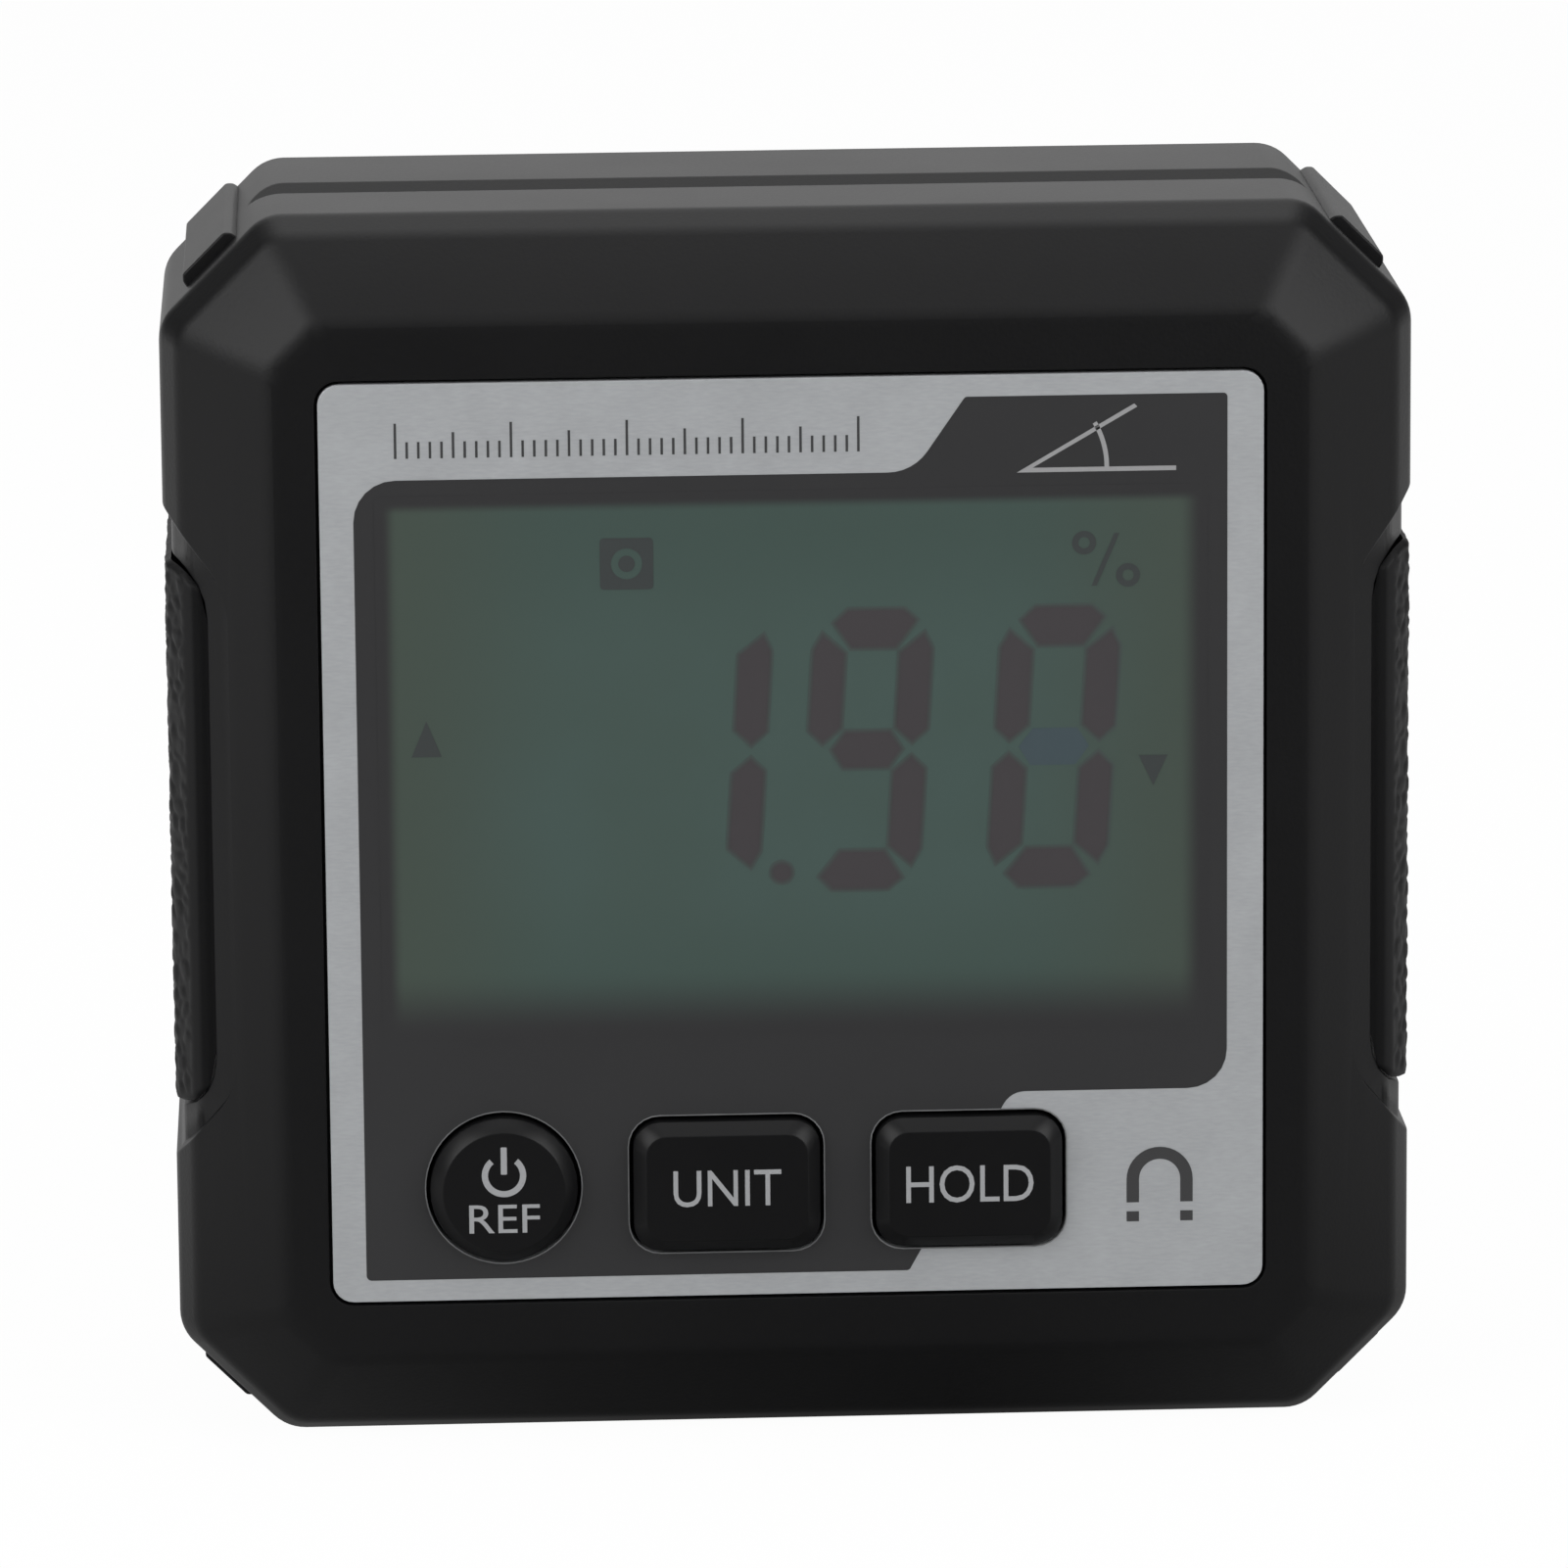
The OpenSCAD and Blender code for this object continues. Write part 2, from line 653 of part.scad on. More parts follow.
module rear_cover() {
    rim_a = cavity_a - rim_gap;
    rim_b = cavity_b - rim_gap;
    rim_outer = octagon(rim_a, rim_b, cavity_cut, cavity_round);
    rim_inner = octagon(rim_a - rim_w, rim_b - rim_w, cavity_cut - rim_w * cut_share, cavity_round);
    magnet_boss_r = magnet_d / 2 + magnet_gap + magnet_wall;
    tray_front_t = tray_floor_t - tray_floor;
    slot_w = tab_w + 2 * clear;
    slot_low_z = door_low_z - tab_reach - clear;
    slot_high_z = mid_z - tray_h / 2 + tab_root;
    color("#202124")
        at_face()
            difference() {
                union() {
                    loft(cover_rings);
                    block(tray_front_t, seam_t, tray_w + 2 * tray_wall, tray_h + 2 * tray_wall, 0, mid_z);
                    difference() {
                        prism(seam_t - rim_d, seam_t, rim_outer, 0, mid_z);
                        prism(seam_t - rim_d - past, seam_t, rim_inner, 0, mid_z);
                        at_four(cover_screw_x, cover_screw_z)
                            rod(seam_t - rim_d - past, seam_t, boss_r + clear);
                        at_magnets()
                            cylinder(h = 2 * (magnet_h + magnet_roof), r = magnet_boss_r + clear);
                    }
                }
                block(tray_floor_t, body_d + past, tray_w, tray_h, 0, mid_z);
                prism(door_seat_t, body_d + past, rounded_rect(door_w, door_h, door_round), 0, mid_z);
                for (x = [-tab_x, tab_x]) {
                    translate([x - slot_w / 2, tab_sweep_t, slot_low_z])
                        cube([slot_w, lip_front_t - tab_sweep_t, slot_high_z - slot_low_z]);
                    translate([x - slot_w / 2, tab_sweep_t, door_low_z])
                        cube([slot_w, body_d - tab_sweep_t, slot_high_z - door_low_z]);
                }
                rod(body_d - notch_t, body_d + past, notch_r, 0, mid_z + door_h / 2);
                at_four(cover_screw_x, cover_screw_z) {
                    rod(seam_t - past, body_d + past, cover_screw_r + 2 * screw_gap);
                    rod(body_d - screw_head_t - screw_gap, body_d + past, cover_head_r + 2 * screw_gap);
                }
            }
}

module battery_door() {
    root_z = door_low_z + door_gap;
    plate = rounded_rect(door_w - 2 * door_gap, door_h - 2 * door_gap, door_round - door_gap);
    color("#232427")
        at_face() {
            prism(door_seat_t, body_d, plate, 0, mid_z);
            for (x = [-tab_x, tab_x])
                translate([x - tab_w / 2, 0, 0]) {
                    translate([0, tab_front_t, root_z + door_gap])
                        cube([tab_w, door_seat_t + door_t / 2 - tab_front_t, tab_root - 2 * door_gap]);
                    translate([0, tab_front_t, door_low_z - tab_reach])
                        cube([tab_w, tab_t, tab_reach + tab_root]);
                }
        }
}

module grip_left() { color("#161617") at_face() mirror([1, 0, 0]) right_grip(); }

module grip_right() { color("#161617") at_face() right_grip(); }

module face_panel() {
    color("#3b3c3f")
        at_face()
            difference() {
                prism(0, panel_t, rounded_rect(panel_w, panel_h, panel_round), 0, mid_z);
                key_holes(-past, panel_t + past);
            }
}

// Flange, stem and the part of a key below its bevel share their depths
module key_stem(x) { rod(flange_front_t, stem_end_t, stem_r, x, key_z); }

module round_key(x) {
    r = ref_d / 2;
    body_t = flange_front_t + flange_t;
    profile = [
        [0, -key_proud], [r - key_bevel, -key_proud], [r, key_bevel - key_proud], [r, flange_front_t],
        [r + flange_w, flange_front_t], [r + flange_w, body_t], [0, body_t]
    ];
    translate([x, 0, key_z])
        rotate([-90, 0, 0])
            rotate_extrude()
                polygon(profile);
    key_stem(x);
}

module oblong_key(x) {
    thin = 0.01;
    hull() {
        prism(-key_proud, thin - key_proud,
            rounded_rect(key_w - 2 * key_bevel, key_h - 2 * key_bevel, key_round - key_bevel / 2), x, key_z);
        prism(key_bevel - key_proud, flange_front_t + thin, rounded_rect(key_w, key_h, key_round), x, key_z);
    }
    prism(flange_front_t, flange_front_t + flange_t,
        rounded_rect(key_w + 2 * flange_w, key_h + 2 * flange_w, key_round + flange_w), x, key_z);
    key_stem(x);
}

module ref_key() { color("#18191a") at_face() round_key(ref_x); }

module unit_key() { color("#18191a") at_face() oblong_key(unit_x); }

module hold_key() { color("#18191a") at_face() oblong_key(hold_x); }

module key_switch(x) {
    front_t = board_front_t - switch_h;
    well_t = front_t + plunger_in + key_travel + plunger_spare;
    color("#8d9094")
        at_face()
            difference() {
                block(front_t, board_front_t, switch_w, switch_w, x, key_z);
                rod(front_t - past, well_t, plunger_r + plunger_gap, x, key_z);
            }
}

module ref_switch() { key_switch(ref_x); }

module unit_switch() { key_switch(unit_x); }

module hold_switch() { key_switch(hold_x); }

module key_plunger(x) {
    color("#c9b458")
        at_face()
            rod(stem_end_t, stem_end_t + plunger_up + plunger_in, plunger_r, x, key_z);
}

module ref_plunger() { key_plunger(ref_x); }

module unit_plunger() { key_plunger(unit_x); }

module hold_plunger() { key_plunger(hold_x); }

module lcd_glass() { color("#5c6f66") at_face() block(wall_t, glass_back_t, glass_w, glass_h, 0, lcd_z); }

module backlight() {
    height = glass_h - 2 * (strip_w + strip_gap);
    color("#e8ece4") at_face() block(glass_back_t, board_front_t, lcd_w, height, 0, lcd_z);
}

module zebra_strip(side) {
    place_z = lcd_z + side * (glass_h - strip_w) / 2;
    color("#d98d86") at_face() block(glass_back_t, board_front_t, lcd_w, strip_w, 0, place_z);
}

module zebra_strip_top() { zebra_strip(1); }

module zebra_strip_bottom() { zebra_strip(-1); }

module circuit_board() {
    corner_r = 0.5;
    half = board_w / 2;
    color("#1f6b3a")
        at_face()
            difference() {
                prism(board_front_t, board_back_t, octagon(half, half, board_cut, corner_r), 0, mid_z);
                at_four(board_screw_x, board_screw_z)
                    rod(board_front_t - past, board_back_t + past, board_screw_r + 2 * screw_gap);
            }
}

// Flat package on the rear of the board
module package(side, x, z) { block(board_back_t, board_back_t + chip_h, side, side, x, z); }

module controller_chip() { color("#2a2a2c") at_face() package(chip_w, chip_x, mid_z - chip_down); }

module tilt_sensor() { color("#b9bcc0") at_face() package(sensor_w, -sensor_x, mid_z); }

module magnet(x, t) {
    color("#c4c7cb")
        at_face()
            at_magnet(x, t)
                translate([0, 0, magnet_up])
                    cylinder(h = magnet_h, r = magnet_d / 2);
}

module magnet_front_left() { magnet(-magnet_x, front_band_t); }

module magnet_front_right() { magnet(magnet_x, front_band_t); }

module magnet_rear_left() { magnet(-magnet_x, rear_band_t); }

module magnet_rear_right() { magnet(magnet_x, rear_band_t); }

// Cell with its nub against the plate at x1 = tray_w / 2 - contact_t, in the direction of side
module cell(side) {
    r = cell_d / 2;
    nub_r = 1.9;
    nub_l = 0.8;
    edge = 0.5;
    can_l = cell_l - nub_l;
    profile = [
        [0, 0], [r - edge, 0], [r, edge], [r, can_l - edge], [r - edge, can_l],
        [nub_r, can_l], [nub_r, cell_l], [0, cell_l]
    ];
    color("#9a9ca0")
        at_face()
            translate([side * (tray_w / 2 - contact_t - cell_l), cell_t, mid_z + side * cell_z])
                rotate([0, side * 90, 0])
                    rotate_extrude()
                        polygon(profile);
}

module battery_upper() { cell(1); }

module battery_lower() { cell(-1); }

// Plate against the tray's end wall
module end_plate(side, height, z) {
    place_x = side * (tray_w - contact_t) / 2;
    color("#c9ccd0")
        at_face()
            block(cell_t - plate_w / 2, cell_t + plate_w / 2, contact_t, height, place_x, mid_z + z);
}

module bridge_contact() { end_plate(-1, 2 * cell_z + plate_w, 0); }

module positive_contact() { end_plate(1, plate_w, cell_z); }

module negative_contact() { end_plate(1, plate_w, -cell_z); }

module contact_spring(side) {
    steps = spring_turns * turn_steps;
    color("#d6d8da")
        at_face()
            translate([side * (contact_t - tray_w / 2), cell_t, mid_z + side * cell_z])
                rotate([0, 0, side > 0 ? 0 : 180])
                    loft([for (i = [0:steps]) spring_ring(i / steps)]);
}

module bridge_spring() { contact_spring(1); }

module negative_spring() { contact_spring(-1); }

// Pan-head screw whose head ends at the depth head_t, with a cross recess
module screw(head_t, length, shank_r, head_r) {
    slot_w = shank_r / 2;
    slot_t = screw_head_t / 2;
    difference() {
        union() {
            rod(head_t - screw_head_t, head_t, head_r);
            rod(head_t - screw_head_t - length, head_t - screw_head_t + slot_t, shank_r);
        }
        block(head_t - slot_t, head_t + past, head_r, slot_w);
        block(head_t - slot_t, head_t + past, slot_w, head_r);
    }
}

module cover_screws() {
    below_head = cover_screw_l - cover_t + screw_head_t;
    color("#8e9196")
        at_face()
            at_four(cover_screw_x, cover_screw_z)
                screw(body_d - screw_gap, below_head, cover_screw_r, cover_head_r);
}

module board_screws() {
    color("#8e9196")
        at_face()
            at_four(board_screw_x, board_screw_z)
                screw(board_back_t + screw_head_t, board_t + backlight_t, board_screw_r, 2 * board_screw_r);
}

housing();
rear_cover();
battery_door();
grip_left();
grip_right();
face_panel();
ref_key();
unit_key();
hold_key();
ref_switch();
unit_switch();
hold_switch();
ref_plunger();
unit_plunger();
hold_plunger();
lcd_glass();
backlight();
zebra_strip_top();
zebra_strip_bottom();
circuit_board();
controller_chip();
tilt_sensor();
magnet_front_left();
magnet_front_right();
magnet_rear_left();
magnet_rear_right();
battery_upper();
battery_lower();
bridge_contact();
positive_contact();
negative_contact();
bridge_spring();
negative_spring();
cover_screws();
board_screws();
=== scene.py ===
"""Looks of the digital angle gauge: moulded case, printed face panel, display, keys and grips."""

import json
import math

import bmesh
import bpy
from mathutils import Matrix, Vector, noise
from mathutils.bvhtree import BVHTree


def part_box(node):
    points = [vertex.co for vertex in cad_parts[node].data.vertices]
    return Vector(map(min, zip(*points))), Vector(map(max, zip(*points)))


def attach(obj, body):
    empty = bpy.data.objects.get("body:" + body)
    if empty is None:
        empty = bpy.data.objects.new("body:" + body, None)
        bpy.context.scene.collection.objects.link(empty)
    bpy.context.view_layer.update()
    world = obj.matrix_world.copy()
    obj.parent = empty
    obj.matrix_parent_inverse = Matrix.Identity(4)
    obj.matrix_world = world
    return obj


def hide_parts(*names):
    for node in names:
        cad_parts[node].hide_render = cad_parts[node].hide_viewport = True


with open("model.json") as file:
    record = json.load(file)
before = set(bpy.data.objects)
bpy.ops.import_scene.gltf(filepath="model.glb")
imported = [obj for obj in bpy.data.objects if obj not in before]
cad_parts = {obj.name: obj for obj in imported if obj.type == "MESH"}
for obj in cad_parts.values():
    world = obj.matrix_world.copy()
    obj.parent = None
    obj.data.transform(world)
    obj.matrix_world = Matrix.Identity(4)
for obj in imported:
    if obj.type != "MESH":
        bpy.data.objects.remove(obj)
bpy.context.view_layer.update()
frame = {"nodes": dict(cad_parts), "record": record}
nodes = frame["nodes"]
bodies = frame["record"]["behaviour"]["bodies"]
node_body = {name: body for body, names in bodies.items() for name in names}
node_slot = {row["node"]: row["material_slot"] for row in frame["record"]["subparts"]}
scene = bpy.context.scene

MM = 0.001

# A convex edge that turns by more than the first angle is rounded; one that turns by more than
# the second is shaded sharp
ROUNDED_EDGE = math.radians(25)
SHARP_EDGE = math.radians(30)

# Places taken from the frame, in metres
FRONT_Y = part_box("housing")[0].y
PANEL_LOW, PANEL_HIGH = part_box("face_panel")
CASE_LOW, CASE_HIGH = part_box("housing")
MIDDLE_Z = (CASE_LOW.z + CASE_HIGH.z) / 2


# Shader helpers

def srgb(red, green, blue):
    """Linear colour of an 8-bit screen colour."""
    def linear(value):
        value /= 255
        return value / 12.92 if value <= 0.04045 else ((value + 0.055) / 1.055) ** 2.4
    return (linear(red), linear(green), linear(blue), 1.0)


class Shader:
    """A node tree with short calls to add and link its nodes."""

    def __init__(self, tree):
        self.tree = tree

    def add(self, kind, settings=None, **inputs):
        node = self.tree.nodes.new(kind)
        for name, value in (settings or {}).items():
            setattr(node, name, value)
        for name, value in inputs.items():
            self.set(node, name.replace("_", " "), value)
        return node

    def set(self, node, name, value):
        socket = node.inputs[int(name)] if name.isdigit() else node.inputs[name]
        if isinstance(value, bpy.types.NodeSocket):
            self.tree.links.new(value, socket)
        else:
            socket.default_value = value

    def math(self, operation, first, second=0.0):
        node = self.tree.nodes.new("ShaderNodeMath")
        node.operation = operation
        self.set(node, "0", first)
        self.set(node, "1", second)
        return node.outputs[0]

    def ramp(self, value, low, high, to_low=0.0, to_high=1.0, smooth=False):
        node = self.tree.nodes.new("ShaderNodeMapRange")
        node.interpolation_type = "SMOOTHSTEP" if smooth else "LINEAR"
        for name, part in zip(("Value", "From Min", "From Max", "To Min", "To Max"),
                              (value, low, high, to_low, to_high)):
            self.set(node, name, part)
        return node.outputs["Result"]

    def scaled(self, colour, share):
        node = self.tree.nodes.new("ShaderNodeVectorMath")
        node.operation = "SCALE"
        self.set(node, "0", colour)
        self.set(node, "Scale", share)
        return node.outputs[0]

    def mix(self, share, first, second):
        node = self.tree.nodes.new("ShaderNodeMix")
        node.data_type = "RGBA"
        self.set(node, "0", share)
        self.set(node, "6", first)
        self.set(node, "7", second)
        return node.outputs[2]


def grain_group():
    """Fine moulded or sprayed grain: a height for bump, a tone for colour and a roughness."""
    group = bpy.data.node_groups.new("surface_grain", "ShaderNodeTree")
    for name, value in (("Grain per metre", 6000.0), ("Stretch", 1.0), ("Tone range", 0.1),
                        ("Roughness", 0.5), ("Roughness range", 0.08)):
        socket = group.interface.new_socket(name, in_out="INPUT", socket_type="NodeSocketFloat")
        socket.default_value = value
    for name in ("Height", "Tone", "Roughness"):
        group.interface.new_socket(name, in_out="OUTPUT", socket_type="NodeSocketFloat")
    s = Shader(group)
    given = group.nodes.new("NodeGroupInput").outputs
    result = group.nodes.new("NodeGroupOutput").inputs
    place = s.add("ShaderNodeTexCoord").outputs["Object"]
    squeeze = s.add("ShaderNodeCombineXYZ", X=given["Stretch"], Y=1.0, Z=1.0).outputs[0]
    stretched = s.add("ShaderNodeVectorMath", {"operation": "MULTIPLY"})
    s.set(stretched, "0", place)
    s.set(stretched, "1", squeeze)
    scale = given["Grain per metre"]
    fine = s.add("ShaderNodeTexNoise", Vector=stretched.outputs[0], Scale=scale, Detail=3.0)
    broad_scale = s.math("MULTIPLY", scale, BROAD_GRAIN)
    broad = s.add("ShaderNodeTexNoise", Vector=place, Scale=broad_scale, Detail=4.0)
    group.links.new(fine.outputs["Fac"], result["Height"])
    both = s.math("MULTIPLY", s.math("ADD", fine.outputs["Fac"], broad.outputs["Fac"]), 0.5)
    spread = s.math("SUBTRACT", both, 0.5)
    reach = s.math("MULTIPLY", given["Tone range"], 2.0)
    tone = s.math("ADD", s.math("MULTIPLY", spread, reach), 1.0)
    group.links.new(tone, result["Tone"])
    rough = s.math("ADD", s.math("MULTIPLY", spread, given["Roughness range"]), given["Roughness"])
    group.links.new(rough, result["Roughness"])
    return group


# Scale of the broad cloudiness under the fine grain, as a share of the grain's own
BROAD_GRAIN = 0.03
GRAIN = grain_group()


def new_material(name):
    """A material, its shader helper and its Principled node."""
    material = bpy.data.materials.new(name)
    material.use_nodes = True
    return material, Shader(material.node_tree), material.node_tree.nodes["Principled BSDF"]


def grained(name, colour, roughness, grain=6000.0, stretch=1.0, tone=0.15, bump=0.2, depth=0.02,
            sockets=None):
    """Material whose colour, roughness and bump follow the shared grain."""
    material, s, shader = new_material(name)
    group = s.add("ShaderNodeGroup", {"node_tree": GRAIN})
    for socket, value in (("Grain per metre", grain), ("Stretch", stretch), ("Tone range", tone),
                          ("Roughness", roughness)):
        group.inputs[socket].default_value = value
    s.set(shader, "Base Color", s.scaled(colour[:3], group.outputs["Tone"]))
    s.set(shader, "Roughness", group.outputs["Roughness"])
    if bump:
        height = group.outputs["Height"]
        node = s.add("ShaderNodeBump", Strength=bump, Distance=depth * MM, Height=height)
        s.set(shader, "Normal", node.outputs[0])
    for socket, value in (sockets or {}).items():
        shader.inputs[socket].default_value = value
    return material


# The face: its dark print, and the clear satin film over it
DARK_PRINT = (44, 44, 45)
FILM = {"Specular IOR Level": 0.2, "Coat Weight": 0.1, "Coat Roughness": 0.15}


def case_moulding():
    return grained("case_moulding", srgb(13, 13, 14), 0.42, grain=5200, tone=0.25, bump=0.3,
                   depth=0.03, sockets={"Specular IOR Level": 0.22})


def cover_moulding():
    return grained("cover_moulding", srgb(15, 15, 16), 0.46, grain=5200, tone=0.25, bump=0.35,
                   depth=0.03, sockets={"Specular IOR Level": 0.2})


def grip_rubber():
    return grained("grip_rubber", srgb(15, 15, 16), 0.55, grain=4200, tone=0.3, bump=0.3,
                   depth=0.03, sockets={"Specular IOR Level": 0.2})


def key_plastic():
    return grained("key_plastic", srgb(14, 14, 15), 0.38, grain=7000, tone=0.15, bump=0.12,
                   depth=0.01, sockets={"Specular IOR Level": 0.2})


def silver_print():
    return grained("silver_print", srgb(153, 155, 157), 0.42, grain=8500, stretch=0.22, tone=0.22,
                   bump=0.06, depth=0.01, sockets={"Metallic": 0.15} | FILM)


def dark_print():
    return grained("dark_print", srgb(*DARK_PRINT), 0.5, grain=7000, tone=0.08, bump=0.0,
                   sockets=FILM)


def pale_print():
    return grained("pale_print", srgb(140, 141, 143), 0.5, grain=7000, tone=0.06, bump=0.0)


def grey_print():
    return grained("grey_print", srgb(55, 55, 56), 0.5, grain=7000, tone=0.08, bump=0.0,
                   sockets=FILM)


def tab_print():
    return grained("tab_print", srgb(136, 136, 137), 0.5, grain=7000, tone=0.08, bump=0.0,
                   sockets=FILM)


def cut_edge():
    return grained("cut_edge", srgb(98, 99, 100), 0.5, grain=900, tone=0.9, bump=0.0)


def display_ink(name, colour):
    return grained(name, srgb(*colour), 0.5, grain=7000, tone=0.06, bump=0.0, sockets=FILM)


# Where the display fades in and out, in millimetres from the panel's upper left corner
DISPLAY_LEFT = (2.95, 3.7)
DISPLAY_RIGHT = (40.9, 42.0)
DISPLAY_TOP = (5.75, 6.35)
DISPLAY_BOTTOM = (28.6, 31.8)
# Where its tint changes, in millimetres from its middle: towards the ends, and towards top and bottom,
# where it is darkened as painted shade
DISPLAY_ENDS = (10.0, 19.5)
DISPLAY_SHADED_ROWS = (5.0, 12.0)


def display_field():
    """Lit display: greenish grey, yellower at its ends, with painted shade darkening its top and bottom,
    fading into the dark print round it.
    """
    material, s, shader = new_material("display_field")
    place = s.add("ShaderNodeTexCoord").outputs["Object"]
    axes = s.add("ShaderNodeSeparateXYZ", Vector=place)
    across = s.math("DIVIDE", s.math("SUBTRACT", axes.outputs["X"], PANEL_LOW.x), MM)
    down = s.math("DIVIDE", s.math("SUBTRACT", PANEL_HIGH.z, axes.outputs["Z"]), MM)
    left = s.ramp(across, *DISPLAY_LEFT, smooth=True)
    right = s.ramp(across, *DISPLAY_RIGHT, 1.0, 0.0, smooth=True)
    top = s.ramp(down, *DISPLAY_TOP, smooth=True)
    bottom = s.ramp(down, *DISPLAY_BOTTOM, 1.0, 0.0, smooth=True)
    inside = s.math("MULTIPLY", s.math("MULTIPLY", left, right), s.math("MULTIPLY", top, bottom))
    middle_x = (DISPLAY_LEFT[0] + DISPLAY_RIGHT[1]) / 2
    middle_y = (DISPLAY_TOP[0] + DISPLAY_BOTTOM[1]) / 2
    beside = s.math("ABSOLUTE", s.math("SUBTRACT", across, middle_x))
    above = s.math("ABSOLUTE", s.math("SUBTRACT", down, middle_y))
    ends = s.ramp(beside, *DISPLAY_ENDS, smooth=True)
    # painted shade: the display darkens towards its top and bottom
    edges = s.ramp(above, *DISPLAY_SHADED_ROWS, smooth=True)
    cloud = s.add("ShaderNodeTexNoise", Vector=place, Scale=120.0, Detail=3.0)
    even = s.mix(s.ramp(cloud.outputs["Fac"], 0.35, 0.65), srgb(60, 75, 70), srgb(61, 77, 73))
    # the display's own tint, with the painted shade of its top and bottom mixed in
    lcd_tint_and_shade = s.mix(ends, s.mix(edges, even, srgb(57, 72, 67)), srgb(60, 70, 63))
    s.set(shader, "Base Color", s.mix(inside, srgb(*DARK_PRINT), lcd_tint_and_shade))
    fine = s.add("ShaderNodeTexNoise", Vector=place, Scale=7000.0, Detail=2.0)
    s.set(shader, "Roughness", s.ramp(fine.outputs["Fac"], 0.0, 1.0, 0.44, 0.54))
    for socket, value in FILM.items():
        shader.inputs[socket].default_value = value
    return material


BARE_METAL = (205, 206, 208)


def plated_metal():
    return grained("plated_metal", srgb(*BARE_METAL), 0.28, grain=2500, tone=0.1, bump=0.05,
                   depth=0.01, sockets={"Metallic": 1.0})


def zinc_steel():
    return grained("zinc_steel", srgb(150, 152, 156), 0.34, grain=3000, tone=0.2, bump=0.08,
                   depth=0.01, sockets={"Metallic": 1.0})


# Along a cell from the case's middle, in millimetres: where its pale band starts, the bare cap at
# its plus end, and how wide these borders are
CELL_BAND_X = 12.0
CELL_CAP_X = 23.2
CELL_BORDER = 0.1


def cell_sleeve(name, plus_side):
    """Shrunk two-tone sleeve with bare metal ends; plus_side is 1 or -1 along x."""
    material, s, shader = new_material(name)
    group = s.add("ShaderNodeGroup", {"node_tree": GRAIN})
    group.inputs["Grain per metre"].default_value = 3000.0
    group.inputs["Roughness"].default_value = 0.3
    place = s.add("ShaderNodeTexCoord").outputs["Object"]
    normal = s.add("ShaderNodeNewGeometry").outputs["Normal"]
    along = s.add("ShaderNodeSeparateXYZ", Vector=place).outputs["X"]
    facing = s.add("ShaderNodeSeparateXYZ", Vector=normal).outputs["X"]
    from_minus = s.math("MULTIPLY", along, plus_side)
    band = s.ramp(from_minus, CELL_BAND_X * MM, (CELL_BAND_X + CELL_BORDER) * MM)
    cap = s.ramp(from_minus, CELL_CAP_X * MM, (CELL_CAP_X + CELL_BORDER) * MM)
    bare = s.math("MAXIMUM", s.ramp(s.math("ABSOLUTE", facing), 0.6, 0.7), cap)
    sleeve = s.mix(band, srgb(62, 84, 108), srgb(164, 167, 170))
    colour = s.mix(bare, sleeve, srgb(*BARE_METAL))
    s.set(shader, "Base Color", s.scaled(colour, group.outputs["Tone"]))
    s.set(shader, "Metallic", bare)
    s.set(shader, "Roughness", group.outputs["Roughness"])
    shader.inputs["Coat Weight"].default_value = 0.5
    shader.inputs["Coat Roughness"].default_value = 0.1
    return material


def board_mask():
    return grained("board_mask", srgb(30, 96, 52), 0.35, grain=1800, tone=0.3, bump=0.1)


def black_package():
    return grained("black_package", srgb(30, 30, 31), 0.55, grain=5000, tone=0.2, bump=0.2)


def light_guide():
    return grained("light_guide", srgb(230, 233, 226), 0.5, grain=2500, tone=0.05, bump=0.05,
                   depth=0.01)


def contact_rubber():
    return grained("contact_rubber", srgb(205, 140, 132), 0.6, grain=3500, stretch=4.0, tone=0.4,
                   bump=0.1)


def amber_plastic():
    return grained("amber_plastic", srgb(196, 170, 84), 0.45, grain=3500, tone=0.1, bump=0.05)


MATERIALS = {
    "body_plastic": case_moulding(),
    "cover_plastic": cover_moulding(),
    "grip_rubber": grip_rubber(),
    "panel_print": silver_print(),
    "key_plastic": key_plastic(),
    "switch_body": zinc_steel(),
    "plunger": amber_plastic(),
    "display_glass": dark_print(),
    "backlight": light_guide(),
    "contact_rubber": contact_rubber(),
    "board": board_mask(),
    "chip": black_package(),
    "magnet": plated_metal(),
    "cell": cell_sleeve("cell_sleeve", 1),
    "contact_metal": plated_metal(),
    "screw_steel": zinc_steel(),
}
for name, node in nodes.items():
    node.data.materials.clear()
    node.data.materials.append(MATERIALS[node_slot[name]])
nodes["battery_lower"].data.materials[0] = cell_sleeve("turned_cell_sleeve", -1)


# Pieces: shared ways of making them

def add_piece(name, mesh, material, body):
    """Puts a mesh into the scene, on its body, with its finish."""
    piece = bpy.data.objects.new(name, mesh)
    scene.collection.objects.link(piece)
    mesh.materials.clear()
    mesh.materials.append(material)
    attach(piece, body)
    return piece


def soften(form, offset):
    """Rounds the convex outer edges that have room for it."""
    tree = BVHTree.FromBMesh(form)
    room = 2.5 * offset
    clear = 0.02 * MM

    def roomy(edge):
        start, end = (vert.co for vert in edge.verts)
        along = (end - start).normalized()
        for face in edge.link_faces:
            reach = [vert.co - start for vert in face.verts]
            if max((r - along * r.dot(along)).length for r in reach) < room:
                return False
        return True

    def outer(edge):
        middle = (edge.verts[0].co + edge.verts[1].co) / 2
        out = (edge.link_faces[0].normal + edge.link_faces[1].normal).normalized()
        return tree.ray_cast(middle + out * clear, out)[0] is None

    chosen = [edge for edge in form.edges if len(edge.link_faces) == 2 and edge.is_convex
              and edge.calc_face_angle() > ROUNDED_EDGE and roomy(edge) and outer(edge)]
    bmesh.ops.bevel(form, geom=chosen, offset=offset, offset_type="OFFSET", segments=2, profile=0.5,
                    affect="EDGES", clamp_overlap=False)


